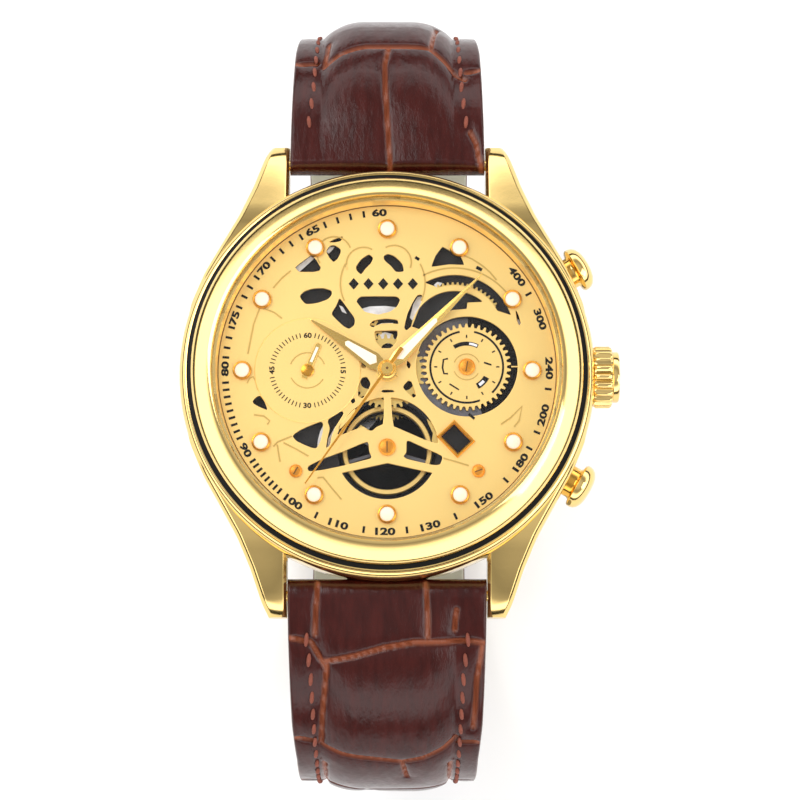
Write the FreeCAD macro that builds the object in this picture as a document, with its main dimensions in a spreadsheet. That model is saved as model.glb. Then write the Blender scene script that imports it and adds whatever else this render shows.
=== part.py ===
import FreeCAD, Part
import math
import os
import re
import Sketcher

# Skeleton wristwatch, in millimetres. The dial faces +Z, 12 o'clock is +Y and the crown is at +X.
# The origin is on the dial axis, in the outer face of the case back.

doc = FreeCAD.newDocument("SkeletonWatch")
sheet = doc.addObject("Spreadsheet::Sheet", "Sizes")

SIZES = {
    # case
    "case_radius": 20.75,
    "case_bore": 17.5,
    "case_bottom": 1.0,
    "case_top": 7.0,
    "back_radius": 18.9,
    "back_thick": 1.0,
    "bezel_radius": 20.1,
    "bezel_bore": 17.6,
    "bezel_top": 9.8,
    "crystal_bottom": 8.9,
    "crystal_thick": 0.9,
    "lug_gap": 20.2,
    "bar_y": 22.4,
    "bar_level": 3.0,
    "bar_radius": 0.75,
    "crown_level": 3.4,
    "crown_start": 20.95,
    "crown_length": 2.7,
    "crown_radius": 3.15,
    "stem_radius": 0.5,
    "tube_radius": 0.95,
    "pusher_angle": 30,
    "pusher_stem": 0.7,
    "pusher_cap": 2.3,
    # dial
    "dial_bottom": 6.9,
    "dial_thick": 0.4,
    "dial_radius": 17.4,
    "plot_circle": 14.6,
    "plot_radius": 0.95,
    "counter_x": -8.04,
    "counter_radius": 4.0,
    "display_x": 8.05,
    "display_y": 0.44,
    "display_opening": 5.15,
    "balance_y": -7.93,
    "balance_opening": 5.2,
    # movement levels and radii
    "plate_bottom": 4.2,
    "plate_thick": 1.0,
    "plate_radius": 16.4,
    "bridge_bottom": 1.3,
    "bridge_thick": 0.6,
    "wheel_thick": 0.2,
    "pivot": 0.15,
    "jewel_radius": 0.7,
    "pivot_play": 0.03,
    # places of the arbors, seen from the dial side
    "barrel_x": 4.24,
    "barrel_y": 5.06,
    "third_x": -4.02,
    "third_y": 2.97,
    "escape_x": -6.6,
    "escape_y": -3.95,
    "pallet_x": -4.16,
    "pallet_y": -5.52,
    "crownwheel_x": 11.6,
    "crownwheel_y": 2.45,
    "minutewheel_x": -1.58,
    "minutewheel_y": 4.33,
    # strap and buckle
    "strap_width": 19.4,
    "strap_thick": 2.8,
    "tail_thick": 2.4,
    "lining_thick": 0.8,
    "strap_start": 4.0,
    "shoulder_radius": 14.5,
    "shoulder_drop": 12,
    "short_bottom": -37.6,
    "long_bottom": -43.4,
    "short_straight": 17.0,
    "long_straight": 42.0,
    "hole_pitch": 6.5,
    "buckle_wire": 1.1,
}

for row, (alias, number) in enumerate(SIZES.items(), start=1):
    sheet.set(f"A{row}", alias)
    sheet.set(f"B{row}", str(number))
    sheet.setAlias(f"B{row}", alias)
doc.recompute()


def tied(text):
    """The expression with each size's name turned into its cell."""
    text = str(text)
    return re.sub(r"[a-z]+(_[a-z]+)*", lambda word: f"Sizes.{word[0]}" if word[0] in SIZES else word[0], text)


def value(text):
    """The number that an expression over the sheet gives now."""
    return float(sheet.evalExpression(tied(text)))


def bind(thing, **expressions):
    """Tie properties of one object to the sheet."""
    for name, text in expressions.items():
        thing.setExpression(name, tied(text))


def place(thing, x=0, y=0, z=0, turn=0):
    """Put a sub-part at a point given by expressions, turned about +Z by degrees."""
    thing.Placement = FreeCAD.Placement(FreeCAD.Vector(), FreeCAD.Rotation(FreeCAD.Vector(0, 0, 1), turn))
    for axis, text in zip("xyz", (x, y, z)):
        thing.setExpression(f"Placement.Base.{axis}", tied(text))
    return thing


def new_body(label):
    body = doc.addObject("PartDesign::Body", label)
    body.Label = label
    return body


def new_sketch(body, role="XY_Plane", level="0"):
    """A sketch on one of the body's own origin planes, raised along the plane's normal."""
    sketch = body.newObject("Sketcher::SketchObject", f"{body.Name}_sketch")
    plane = next(item for item in body.Origin.OriginFeatures if item.Role == role)
    sketch.AttachmentSupport = [(plane, "")]
    sketch.MapMode = "FlatFace"
    sketch.setExpression("AttachmentOffset.Base.z", tied(level))
    return sketch


def pin_point(sketch, geometry, which, x, y):
    """Tie one point of a sketch to the sheet by its two distances from the sketch's origin."""
    for kind, text in (("DistanceX", x), ("DistanceY", y)):
        index = sketch.addConstraint(Sketcher.Constraint(kind, -1, 1, geometry, which, value(text)))
        sketch.setExpression(f"Constraints[{index}]", tied(text))


def outline(sketch, corners):
    """A closed polygon through corners, each an (x, y) pair of expressions."""
    points = [FreeCAD.Vector(value(x), value(y), 0) for x, y in corners]
    first = sketch.GeometryCount
    count = len(points)
    for i in range(count):
        sketch.addGeometry(Part.LineSegment(points[i], points[(i + 1) % count]))
    for i in range(count):
        sketch.addConstraint(Sketcher.Constraint("Coincident", first + i, 2, first + (i + 1) % count, 1))
    for i, (x, y) in enumerate(corners):
        pin_point(sketch, first + i, 1, x, y)


def circle(sketch, x, y, radius):
    """A circle whose centre and radius are expressions."""
    centre = FreeCAD.Vector(value(x), value(y), 0)
    geometry = sketch.addGeometry(Part.Circle(centre, FreeCAD.Vector(0, 0, 1), value(radius)))
    pin_point(sketch, geometry, 3, x, y)
    index = sketch.addConstraint(Sketcher.Constraint("Radius", geometry, value(radius)))
    sketch.setExpression(f"Constraints[{index}]", tied(radius))


def pad(body, sketch, length):
    feature = body.newObject("PartDesign::Pad", f"{body.Name}_pad")
    feature.Profile = sketch
    bind(feature, Length=length)
    return feature


def pocket_through(body, sketch):
    """Cut a sketch right through, both ways from its plane."""
    feature = body.newObject("PartDesign::Pocket", f"{body.Name}_pocket")
    feature.Profile = sketch
    feature.Type = "ThroughAll"
    feature.Midplane = True
    return feature


def plate(label, corners, level, thick, holes=()):
    """A flat piece: an outline with round holes, lying at a level."""
    body = new_body(label)
    sketch = new_sketch(body, "XY_Plane", level)
    outline(sketch, corners)
    for hole in holes:
        circle(sketch, *hole)
    pad(body, sketch, thick)
    return body


def disc(label, radius, level, thick, holes=()):
    """A round flat piece with round holes, lying at a level."""
    body = new_body(label)
    sketch = new_sketch(body, "XY_Plane", level)
    circle(sketch, 0, 0, radius)
    for hole in holes:
        circle(sketch, *hole)
    pad(body, sketch, thick)
    return body


def turned(label, corners):
    """A turned piece: an outline of (radius, height) pairs, revolved about +Z."""
    body = new_body(label)
    sketch = new_sketch(body, "XZ_Plane")
    outline(sketch, corners)
    feature = body.newObject("PartDesign::Revolution", f"{label}_revolution")
    feature.Profile = sketch
    feature.ReferenceAxis = (sketch, ["V_Axis"])
    feature.Angle = 360
    return body


def cylinder(name, radius, height, x=0, y=0, z=0):
    tool = doc.addObject("Part::Cylinder", name)
    bind(tool, Radius=radius, Height=height)
    return place(tool, x, y, z)


def box(name, length, width, height, x, y, z):
    """A box whose low corner is at x, y, z."""
    tool = doc.addObject("Part::Box", name)
    bind(tool, Length=length, Width=width, Height=height)
    return place(tool, x, y, z)


def fuse(label, *pieces):
    result = doc.addObject("Part::MultiFuse", label)
    result.Label = label
    result.Shapes = list(pieces)
    return result


def cut(label, base, tool):
    result = doc.addObject("Part::Cut", label)
    result.Label = label
    result.Base = base
    result.Tool = tool
    return result


def common(label, *pieces):
    result = doc.addObject("Part::MultiCommon", label)
    result.Label = label
    result.Shapes = list(pieces)
    return result


def group(label, *pieces):
    """Identical or paired solids that share one node without touching."""
    result = doc.addObject("Part::Compound", label)
    result.Label = label
    result.Links = list(pieces)
    return result


def along_x(tool, x, y, z, reverse=False):
    """Lay a cylinder or cone along +X, or -X, from a point given by expressions."""
    turn = -90 if reverse else 90
    tool.Placement = FreeCAD.Placement(FreeCAD.Vector(), FreeCAD.Rotation(FreeCAD.Vector(0, 1, 0), turn))
    for axis, text in zip("xyz", (x, y, z)):
        tool.setExpression(f"Placement.Base.{axis}", tied(text))
    return tool


# the arbors' places
CENTRE = (0, 0)
BARREL = ("barrel_x", "barrel_y")
THIRD = ("third_x", "third_y")
FOURTH = ("counter_x", 0)
ESCAPE = ("escape_x", "escape_y")
PALLET = ("pallet_x", "pallet_y")
BALANCE = (0, "balance_y")
MINUTE = ("minutewheel_x", "minutewheel_y")
DISPLAY = ("display_x", "display_y")
CROWNWHEEL = ("crownwheel_x", "crownwheel_y")

PARTS = []


def keep(*pieces):
    """Add finished sub-parts to the list of files that are written."""
    PARTS.extend(pieces)


# ---- case ----

def lug(number, flip_x, flip_y):
    """One lug, the overlap of its plan and its side view, mirrored to its corner."""
    plan_corners = [
        ("lug_gap / 2", 12), ("lug_gap / 2", 24), (10.9, 24), (12.3, 23.1), (13.4, 19.8), (14.8, 16.5),
        (16.4, 13.6), (18.2, 10.4), (19.5, 7.3), ("case_radius - 0.5", 4.1), (12, 4.1),
    ]
    side_corners = [
        (4, 1.2), (4, 6.6), (15, 6.5), (19, 5.7), (22, 4.3), (24.2, 2.6), (24.2, 1.0),
        (23.4, 0.4), (20, 0.5), (14, 1.0),
    ]
    plan = plate(f"lug_plan_{number}", plan_corners, 0, 9)
    side = new_body(f"lug_side_{number}")
    sketch = new_sketch(side, "YZ_Plane")
    outline(sketch, side_corners)
    pad(side, sketch, "case_radius + 1")
    piece = common(f"lug_{number}", plan, side)
    for flip, normal in ((flip_x, (1, 0, 0)), (flip_y, (0, 1, 0))):
        if flip:
            mirror = doc.addObject("Part::Mirroring", f"lug_{number}_mirror")
            mirror.Source = piece
            mirror.Normal = FreeCAD.Vector(*normal)
            piece = mirror
    return piece


def radial(tool, distance, angle, level="crown_level"):
    """Lay a turned piece along a radius of the case: 0 degrees is the crown, its own zero at a distance."""
    lay_down = FreeCAD.Rotation(FreeCAD.Vector(0, 1, 0), 90)
    aim = FreeCAD.Rotation(FreeCAD.Vector(0, 0, 1), angle)
    tool.Placement = FreeCAD.Placement(FreeCAD.Vector(), aim.multiply(lay_down))
    bind(tool, **{
        "Placement.Base.x": f"({distance}) * cos({angle} deg)",
        "Placement.Base.y": f"({distance}) * sin({angle} deg)",
        "Placement.Base.z": level,
    })
    return tool


PUSHER_ANGLES = {"start_pusher": value("pusher_angle"), "reset_pusher": -value("pusher_angle")}
TUBE_START = "case_bore + 0.1"
TUBE_LENGTH = 3.3
PUSHER_TUBE = "pusher_stem + 1.05"

# a stack of dished spring washers, drawn as one zigzag band that is turned about the stem
WASHER_FOLDS = [("pusher_stem + 0.3" if fold % 2 == 0 else "pusher_stem + 0.65", 0.26 * fold) for fold in range(7)]
SPRING_OUTLINE = ([(f"{radius} + 0.14", height) for radius, height in WASHER_FOLDS]
                  + [(f"{radius} - 0.14", height) for radius, height in reversed(WASHER_FOLDS)])


def make_case():
    band = turned("case_band", [
        ("case_bore", "case_bottom"), (19.4, "case_bottom"), (20.3, 1.8), ("case_radius", 3.0),
        ("case_radius", 6.0), (20.5, 6.7), (20.1, "case_top"), ("case_bore", "case_top"),
    ])
    lugs = [lug(1, False, False), lug(2, True, False), lug(3, False, True), lug(4, True, True)]
    bore = cylinder("case_bore_tool", "case_bore", 12, 0, 0, -1)
    seat = cylinder("case_back_seat", "back_radius + 0.1", "case_bottom + 1", 0, 0, -1)
    tools = [bore, seat]
    for side, sign in (("top", 1), ("bottom", -1)):
        hole = cylinder(f"bar_hole_{side}", 0.6, "lug_gap + 2.4")
        tools.append(along_x(hole, "-lug_gap / 2 - 1.2", f"{sign} * bar_y", "bar_level"))
    tools.append(radial(cylinder("crown_tube_hole", "tube_radius", 8), 15, 0))
    for name, angle in PUSHER_ANGLES.items():
        tools.append(radial(cylinder(f"{name}_hole", PUSHER_TUBE, 8), 15, angle))
    keep(cut("case_middle", fuse("case_blank", band, *lugs), fuse("case_cuts", *tools)))

    keep(turned("bezel", [
        ("bezel_bore", "case_top"), ("bezel_radius", "case_top"), ("bezel_radius", 7.45), (19.85, 7.6),
        (19.85, 7.3), (19.5, 7.3), (19.5, 7.9), (19.42, 8.4), (19.2, 8.9), (18.85, 9.4), (18.4, 9.7),
        (18.0, "bezel_top"), ("bezel_bore", "bezel_top - 0.1"), ("bezel_bore", "crystal_bottom"),
        ("bezel_bore - 0.3", "crystal_bottom"), ("bezel_bore - 0.3", "crystal_bottom - 0.4"),
        ("bezel_bore", "crystal_bottom - 0.4"),
    ]))
    keep(turned("crystal", [
        (0, "crystal_bottom"), ("bezel_bore", "crystal_bottom"),
        ("bezel_bore", "crystal_bottom + crystal_thick - 0.15"),
        ("bezel_bore - 0.2", "crystal_bottom + crystal_thick"), (0, "crystal_bottom + crystal_thick"),
    ]))
    keep(turned("case_back", [
        (0, 0), ("back_radius - 0.5", 0), ("back_radius", 0.3), ("back_radius", "back_thick - 0.1"),
        (18.5, "back_thick - 0.1"), (18.5, 0.6), (17.9, 0.6), (17.9, "back_thick"),
        ("case_bore - 0.1", "back_thick"), ("case_bore - 0.1", 1.8), (16.6, 1.8), (16.6, 0.8), (0, 0.8),
    ]))
    keep(turned("case_back_gasket", [(17.95, 0.6), (18.45, 0.6), (18.45, 0.98), (17.95, 0.98)]))


def make_crown_and_pushers():
    crown_tube = turned("crown_tube", [(0.56, 0), ("tube_radius", 0), ("tube_radius", 4.6), (0.56, 4.6)])
    tubes = [radial(crown_tube, TUBE_START, 0)]
    springs = []
    for name, angle in PUSHER_ANGLES.items():
        tube = turned(f"{name}_tube", [
            ("pusher_stem + 0.05", 0), (PUSHER_TUBE, 0), (PUSHER_TUBE, TUBE_LENGTH),
            ("pusher_stem + 0.95", TUBE_LENGTH), ("pusher_stem + 0.95", 0.7), ("pusher_stem + 0.05", 0.7),
        ])
        tubes.append(radial(tube, TUBE_START, angle))
        pusher = turned(name, [
            (0, 0), ("pusher_stem", 0), ("pusher_stem", 2.7), ("pusher_stem + 0.9", 2.7),
            ("pusher_stem + 0.9", 4.75), (1.8, 4.9), ("pusher_cap", 5.25), ("pusher_cap - 0.1", 5.7),
            (1.7, 6.25), (0.9, 6.5), (0, 6.55),
        ])
        keep(radial(pusher, "case_bore - 0.3", angle))
        spring = turned(f"{name}_spring", SPRING_OUTLINE)
        springs.append(radial(spring, "case_bore + 0.82", angle))
    keep(group("case_tubes", *tubes), group("pusher_springs", *springs))

    crown = turned("crown", [
        ("tube_radius + 0.1", 0), ("crown_radius - 0.25", 0), ("crown_radius", 0.3), ("crown_radius", 1.85),
        ("crown_radius - 0.4", 2.05), (2.6, 2.05), (2.6, "crown_length - 0.15"),
        (2.4, "crown_length"), (0, "crown_length"), (0, 1.9), ("tube_radius + 0.1", 1.9),
    ])
    flute_sketch = new_sketch(crown, "XY_Plane")
    circle(flute_sketch, "crown_radius + 0.08", 0, 0.3)
    doc.recompute()
    flute = pocket_through(crown, flute_sketch)
    doc.recompute()
    flutes = crown.newObject("PartDesign::PolarPattern", "crown_flutes")
    flutes.Originals = [flute]
    flutes.Axis = (flute_sketch, ["N_Axis"])
    flutes.Angle = 360
    flutes.Occurrences = 20
    crown.Tip = flutes
    keep(radial(crown, "crown_start", 0))

    stem = cylinder("winding_stem", "stem_radius", "crown_start + 1.9 - 10.6")
    keep(radial(stem, 10.6, 0))


def make_bars():
    bars = []
    for side, sign in (("top", 1), ("bottom", -1)):
        body = cylinder(f"bar_body_{side}", "bar_radius", "lug_gap - 0.4")
        along_x(body, "-lug_gap / 2 + 0.2", f"{sign} * bar_y", "bar_level")
        pins = cylinder(f"bar_pins_{side}", 0.55, "lug_gap + 2")
        along_x(pins, "-lug_gap / 2 - 1", f"{sign} * bar_y", "bar_level")
        bars.append(fuse(f"lug_spring_bar_{side}", body, pins))
    keep(group("lug_spring_bars", *bars))


# ---- dial ----

DIAL_WINDOWS = {
    "barrel_window": [
        (3.36, 4.48), (3.84, 6.65), (4.59, 7.58), (5.64, 8.1), (6.91, 8.28), (8.19, 7.93), (9.7, 7.05),
        (8.1, 7.02), (8.1, 6.36), (6.31, 6.24), (3.9, 4.0),
    ],
    "crescent_window": [
        (4.65, 9.1), (6.1, 9.84), (7.5, 9.81), (8.9, 9.4), (11.0, 7.6), (12.2, 5.66), (11.1, 6.19),
        (9.47, 7.93), (7.4, 8.97), (5.3, 8.45),
    ],
    "top_window": [(4.45, 10.7), (5.3, 12.5), (6.3, 12.0), (7.1, 11.6), (7.8, 10.9)],
    "small_drop": [(-6.24, 12.36), (-5.88, 12.94), (-5.37, 13.01), (-4.73, 12.59), (-4.74, 12.14), (-5.45, 11.19)],
    "small_triangle": [(-8.89, 10.36), (-7.7, 11.73), (-7.19, 11.42), (-6.74, 10.65), (-7.48, 10.19)],
    "round_slot": [
        (-8.89, 7.74), (-8.43, 8.2), (-6.47, 8.54), (-5.62, 8.26), (-5.62, 7.8), (-7.15, 6.94), (-8.27, 6.83),
    ],
    "tear": [(-4.84, 7.58), (-3.27, 5.4), (-3.29, 4.72), (-3.82, 4.27), (-5.62, 5.75), (-5.57, 6.1)],
    "petal_left": [(-1.85, 12.07), (-1.4, 11.67), (-2.64, 9.9), (-3.21, 10.76), (-2.64, 11.56)],
    "petal_right": [(-0.4, 11.86), (0.06, 12.1), (1.56, 11.05), (1.73, 10.22), (0.87, 10.17), (-0.29, 11.39)],
    "smile": [(-3.17, 7.16), (-2.76, 7.6), (0.98, 7.6), (1.34, 7.31), (0.37, 6.1), (-0.9, 5.75), (-2.3, 6.1)],
    "arc_slot": [(-1.85, 4.78), (-1.45, 5.18), (-0.13, 5.38), (1.08, 5.23), (1.18, 4.83), (-0.64, 4.85)],
    "wheel_window": [(-1.35, 4.1), (1.1, 4.15), (0.98, 2.96), (0.37, 2.3), (-0.54, 2.3), (-1.14, 2.96)],
    "lever_window": [(3.15, 7.85), (3.5, 7.6), (2.4, 4.3), (1.9, 4.2), (2.2, 6.3)],
    "left_triangle": [(-9.58, -6.67), (-7.41, -5.17), (-6.47, -5.1), (-6.4, -6.33), (-6.87, -7.9), (-9.16, -7.22)],
    "slanted_window": [(-6.0, -5.1), (-4.5, -4.1), (-4.35, -4.4), (-5.4, -5.6), (-5.8, -7.4), (-6.1, -7.9)],
    "left_cell": [(-2.96, -2.63), (-2.55, -0.71), (-2.02, -0.58), (-1.6, -1.4), (-2.55, -2.91)],
    "right_cell": [(1.52, -1.67), (2.1, -0.9), (2.45, -1.2), (2.85, -2.5), (2.6, -2.84)],
}

BRIDGE_BLANK = [
    (-1.76, -6.15), (-4.9, -7.5), (-6.0, -9.0), (-4.48, -10.43), (0, -9.49), (4.48, -10.43), (6.0, -9.0),
    (4.9, -7.5), (1.0, -5.8),
]
BRIDGE_EYES = {
    "left": [
        (-1.87, -7.15), (-5.86, -8.79), (-7.89, -9.73), (-8.0, -10.02), (-7.83, -10.31), (-6.38, -10.14),
        (-2.22, -9.14), (-1.6, -8.95), (-1.81, -8.26),
    ],
    "right": [(1.95, -7.21), (2.18, -7.15), (5.65, -8.73), (5.36, -9.64), (4.61, -9.67), (1.83, -9.02), (1.62, -8.6)],
}

DATE_AT = (6.93, -7.0)
DATE_TILT = -46.5
DIAL_SCREW_X = (-9.17, 9.18)
DIAL_SCREW_Y = -10.27
BRIDGE_SCREW_Y = "balance_y + 0.08"


def make_dial():
    base = new_body("dial_base")
    sketch = new_sketch(base, "XY_Plane", "dial_bottom")
    circle(sketch, 0, 0, "dial_radius")
    circle(sketch, 0, 0, 1.3)
    circle(sketch, "counter_x", 0, "counter_radius")
    circle(sketch, "display_x", "display_y", "display_opening")
    circle(sketch, 0, "balance_y", "balance_opening")
    pad(base, sketch, "dial_thick")
    cuts = [plate(name, corners, "dial_bottom - 1", 3) for name, corners in DIAL_WINDOWS.items()]
    date_hole = box("date_hole", 2.5, 1.8, 3, -1.25, -0.9, 0)
    place(date_hole, *DATE_AT, "dial_bottom - 1", DATE_TILT)
    screw_holes = [cylinder(f"dial_screw_hole_{i}", 0.43, 3, x, DIAL_SCREW_Y, "dial_bottom - 1")
                   for i, x in enumerate(DIAL_SCREW_X)]
    holed = cut("dial_holed", base, fuse("dial_cuts", date_hole, *cuts, *screw_holes))
    hub = cylinder("bridge_hub", 1.85, "dial_thick", 0, BRIDGE_SCREW_Y, "dial_bottom")
    stem = [(-0.4, -2.6), (0.45, -2.6), (0.65, -6.2), (-0.55, -6.2)]
    arms = [plate("bridge_stem", stem, "dial_bottom", "dial_thick"),
            plate("bridge_blank", BRIDGE_BLANK, "dial_bottom", "dial_thick")]
    bored = cylinder("bridge_screw_hole", 0.5, 2, 0, BRIDGE_SCREW_Y, "dial_bottom - 1")
    eyes = [plate(f"bridge_eye_{side}", corners, "dial_bottom - 1", 3) for side, corners in BRIDGE_EYES.items()]
    with_bridge = fuse("dial_with_bridge", holed, hub, *arms)
    keep(cut("dial_plate", with_bridge, fuse("bridge_cuts", bored, *eyes)))

    keep(turned("tachymeter_ring", [
        (15.65, "dial_bottom + dial_thick"), ("dial_radius - 0.1", "dial_bottom + dial_thick"),
        ("dial_radius - 0.1", "dial_bottom + dial_thick + 0.75"), (17.0, "dial_bottom + dial_thick + 0.6"),
        (15.65, "dial_bottom + dial_thick + 0.1"),
    ]))
    plots = []
    for hour in range(12):
        plot = turned(f"hour_plot_{hour}", [
            (0, 0), ("plot_radius", 0), ("plot_radius", 0.3), ("plot_radius - 0.1", 0.42),
            ("plot_radius - 0.25", 0.42), ("plot_radius - 0.25", 0.3), (0, 0.3),
        ])
        place(plot, f"plot_circle * sin({30 * hour} deg)", f"plot_circle * cos({30 * hour} deg)",
              "dial_bottom + dial_thick")
        plots.append(plot)
    keep(group("hour_plots", *plots))

    counter = disc("small_seconds_disc", "counter_radius", "dial_bottom + 0.05", 0.2, [(0, 0, 0.3)])
    keep(place(counter, "counter_x"))
    frame = cut("date_frame_ring", box("date_frame_outer", 3.1, 2.5, 0.15, -1.55, -1.25, 0),
                box("date_frame_inner", 2.4, 1.8, 1, -1.2, -0.9, -0.5))
    frame.Label = "date_frame"
    keep(place(frame, *DATE_AT, "dial_bottom + dial_thick", DATE_TILT))
    screws = []
    for name, x, y, radius in (("left", DIAL_SCREW_X[0], DIAL_SCREW_Y, 0.62),
                               ("right", DIAL_SCREW_X[1], DIAL_SCREW_Y, 0.62),
                               ("hub", 0, BRIDGE_SCREW_Y, 0.87)):
        head = turned(f"dial_screw_{name}_head", [
            (0, -0.35), (0.42, -0.35), (0.42, 0), (radius, 0), (radius, 0.22), (radius - 0.12, 0.3), (0, 0.3)])
        slot = box(f"dial_screw_{name}_slot", 3, 0.22, 1, -1.5, -0.11, 0.17)
        screw = cut(f"dial_screw_{name}", head, slot)
        screws.append(place(screw, x, y, "dial_bottom + dial_thick"))
    shoulder_screw = turned("display_wheel_screw", [
        (0, 5.2), (0.45, 5.2), (0.45, 6.75), (0.84, 6.75), (0.84, 6.98), (0.74, 7.05), (0, 7.05)])
    screws.append(place(shoulder_screw, *DISPLAY))
    keep(group("dial_screws", *screws))


# ---- wheels ----

class Wheel:
    """A toothed wheel on an arbor: teeth, pitch radius and place. A tooth gap is centred on its turn."""

    def __init__(self, teeth, pitch, x, y, turn=0.0):
        self.teeth = teeth
        self.pitch = pitch
        self.x = x
        self.y = y
        self.turn = turn

    def build(self, label, level, thick, bore, windows=None):
        """Blank, one tooth gap and its polar pattern, with optional round windows (count, circle, radius)."""
        module = f"(2 * ({self.pitch}) / {self.teeth})"
        pitch_arc = f"({module} * 3.1416)"
        body = new_body(label)
        blank = new_sketch(body, "XY_Plane", level)
        circle(blank, 0, 0, f"({self.pitch}) + 0.9 * {module}")
        if bore:
            circle(blank, 0, 0, bore)
        if windows:
            count, ring, radius = windows
            for i in range(count):
                angle = f"{360 * i / count + 180 / count} deg"
                circle(blank, f"({ring}) * cos({angle})", f"({ring}) * sin({angle})", radius)
        pad(body, blank, thick)
        root = f"({self.pitch}) - 1.2 * {module}"
        beyond = f"({self.pitch}) + 1.3 * {module}"
        gap_sketch = new_sketch(body, "XY_Plane", level)
        outline(gap_sketch, [
            (root, f"-0.17 * {pitch_arc}"), (beyond, f"-0.41 * {pitch_arc}"),
            (beyond, f"0.41 * {pitch_arc}"), (root, f"0.17 * {pitch_arc}"),
        ])
        doc.recompute()
        gap = pocket_through(body, gap_sketch)
        pattern = body.newObject("PartDesign::PolarPattern", f"{label}_teeth")
        pattern.Originals = [gap]
        pattern.Axis = (gap_sketch, ["N_Axis"])
        pattern.Angle = 360
        pattern.Occurrences = self.teeth
        body.Tip = pattern
        return place(body, self.x, self.y, 0, self.turn)


def distance(x1, y1, x2, y2):
    """The distance between two arbors, as an expression."""
    return f"sqrt((({x1}) - ({x2}))^2 + (({y1}) - ({y2}))^2)"


def meshed(driver, teeth, x, y, total_teeth=None):
    """The wheel at x, y whose teeth fill the driver's gaps, with the pitch radius left to it."""
    spacing = distance(driver.x, driver.y, x, y)
    pitch = f"{spacing} * {teeth} / {total_teeth or driver.teeth + teeth}"
    aim = math.degrees(math.atan2(value(y) - value(driver.y), value(x) - value(driver.x)))
    step = 360 / driver.teeth
    offset = (driver.turn - aim + step / 2) % step - step / 2
    return Wheel(teeth, pitch, x, y, aim + 180 - offset * driver.teeth / teeth + 180 / teeth)


def driving(teeth, x, y, other_teeth, other_x, other_y, turn=0.0):
    """The first wheel of a pair, sized to mesh with a wheel at another arbor."""
    pitch = f"{distance(x, y, other_x, other_y)} * {teeth} / {teeth + other_teeth}"
    return Wheel(teeth, pitch, x, y, turn)


def make_train():
    barrel = driving(80, *BARREL, 10, *CENTRE)
    centre_pinion = meshed(barrel, 10, *CENTRE)
    toothed = barrel.build("barrel_teeth", 2.5, 0.3, "0.85")
    wall = turned("barrel_wall", [(5.1, 2.75), (5.5, 2.75), (5.5, 3.65), (5.1, 3.65)])
    keep(fuse("barrel_drum", toothed, place(wall, *BARREL)))
    keep(place(turned("barrel_arbor", [
        (0, 1.25), (0.5, 1.25), (0.5, 1.95), (0.8, 1.95), (0.8, 3.9), (0.5, 3.9), (0.5, 4.7), (0, 4.7),
    ]), *BARREL))

    centre_wheel = driving(64, *CENTRE, 8, *THIRD)
    third_pinion = meshed(centre_wheel, 8, *THIRD)
    tube = turned("centre_tube", [(0.2, 2.45), (0.45, 2.45), (0.45, 5.9), (0.2, 5.9)])
    keep(fuse(
        "centre_wheel", tube, centre_pinion.build("centre_pinion", 2.45, 0.42, "0.3"),
        centre_wheel.build("centre_wheel_teeth", 3.83, "wheel_thick", "0.4", (5, 2.6, 1.15))))

    third_wheel = driving(60, *THIRD, 8, *CENTRE)
    keep(fuse(
        "third_wheel", cylinder("third_arbor", "pivot", 3.0, *THIRD, 1.5),
        cylinder("third_core", 0.4, 2.0, *THIRD, 2.05),
        third_pinion.build("third_pinion", 3.75, 0.36, "0.3"),
        third_wheel.build("third_wheel_teeth", 2.02, "wheel_thick", "0.3", (5, 2.5, 1.1))))

    sweep_pinion = meshed(third_wheel, 8, *CENTRE)
    keep(fuse(
        "sweep_arbor", cylinder("sweep_staff", "pivot", 7.1, *CENTRE, 1.5),
        sweep_pinion.build("sweep_pinion", 1.98, 0.3, "0.1")))

    fourth_pinion = meshed(third_wheel, 8, *FOURTH)
    fourth_wheel = driving(70, *FOURTH, 7, *ESCAPE)
    keep(fuse(
        "fourth_wheel", cylinder("fourth_arbor", "pivot", 5.84, *FOURTH, 1.5),
        fourth_pinion.build("fourth_pinion", 1.98, 0.5, "0.1"),
        fourth_wheel.build("fourth_wheel_teeth", 2.42, "wheel_thick", "0.1", (5, 2.2, 0.95))))

    escape_pinion = meshed(fourth_wheel, 7, *ESCAPE)
    escape_wheel = Wheel(15, 1.8, *ESCAPE)
    keep(fuse(
        "escape_wheel", cylinder("escape_arbor", "pivot", 2.9, *ESCAPE, 1.5),
        escape_pinion.build("escape_pinion", 2.36, 0.84, "0.1"),
        escape_wheel.build("escape_wheel_teeth", 3.0, "wheel_thick", "0.1", (4, 0.9, 0.35))))


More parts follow.
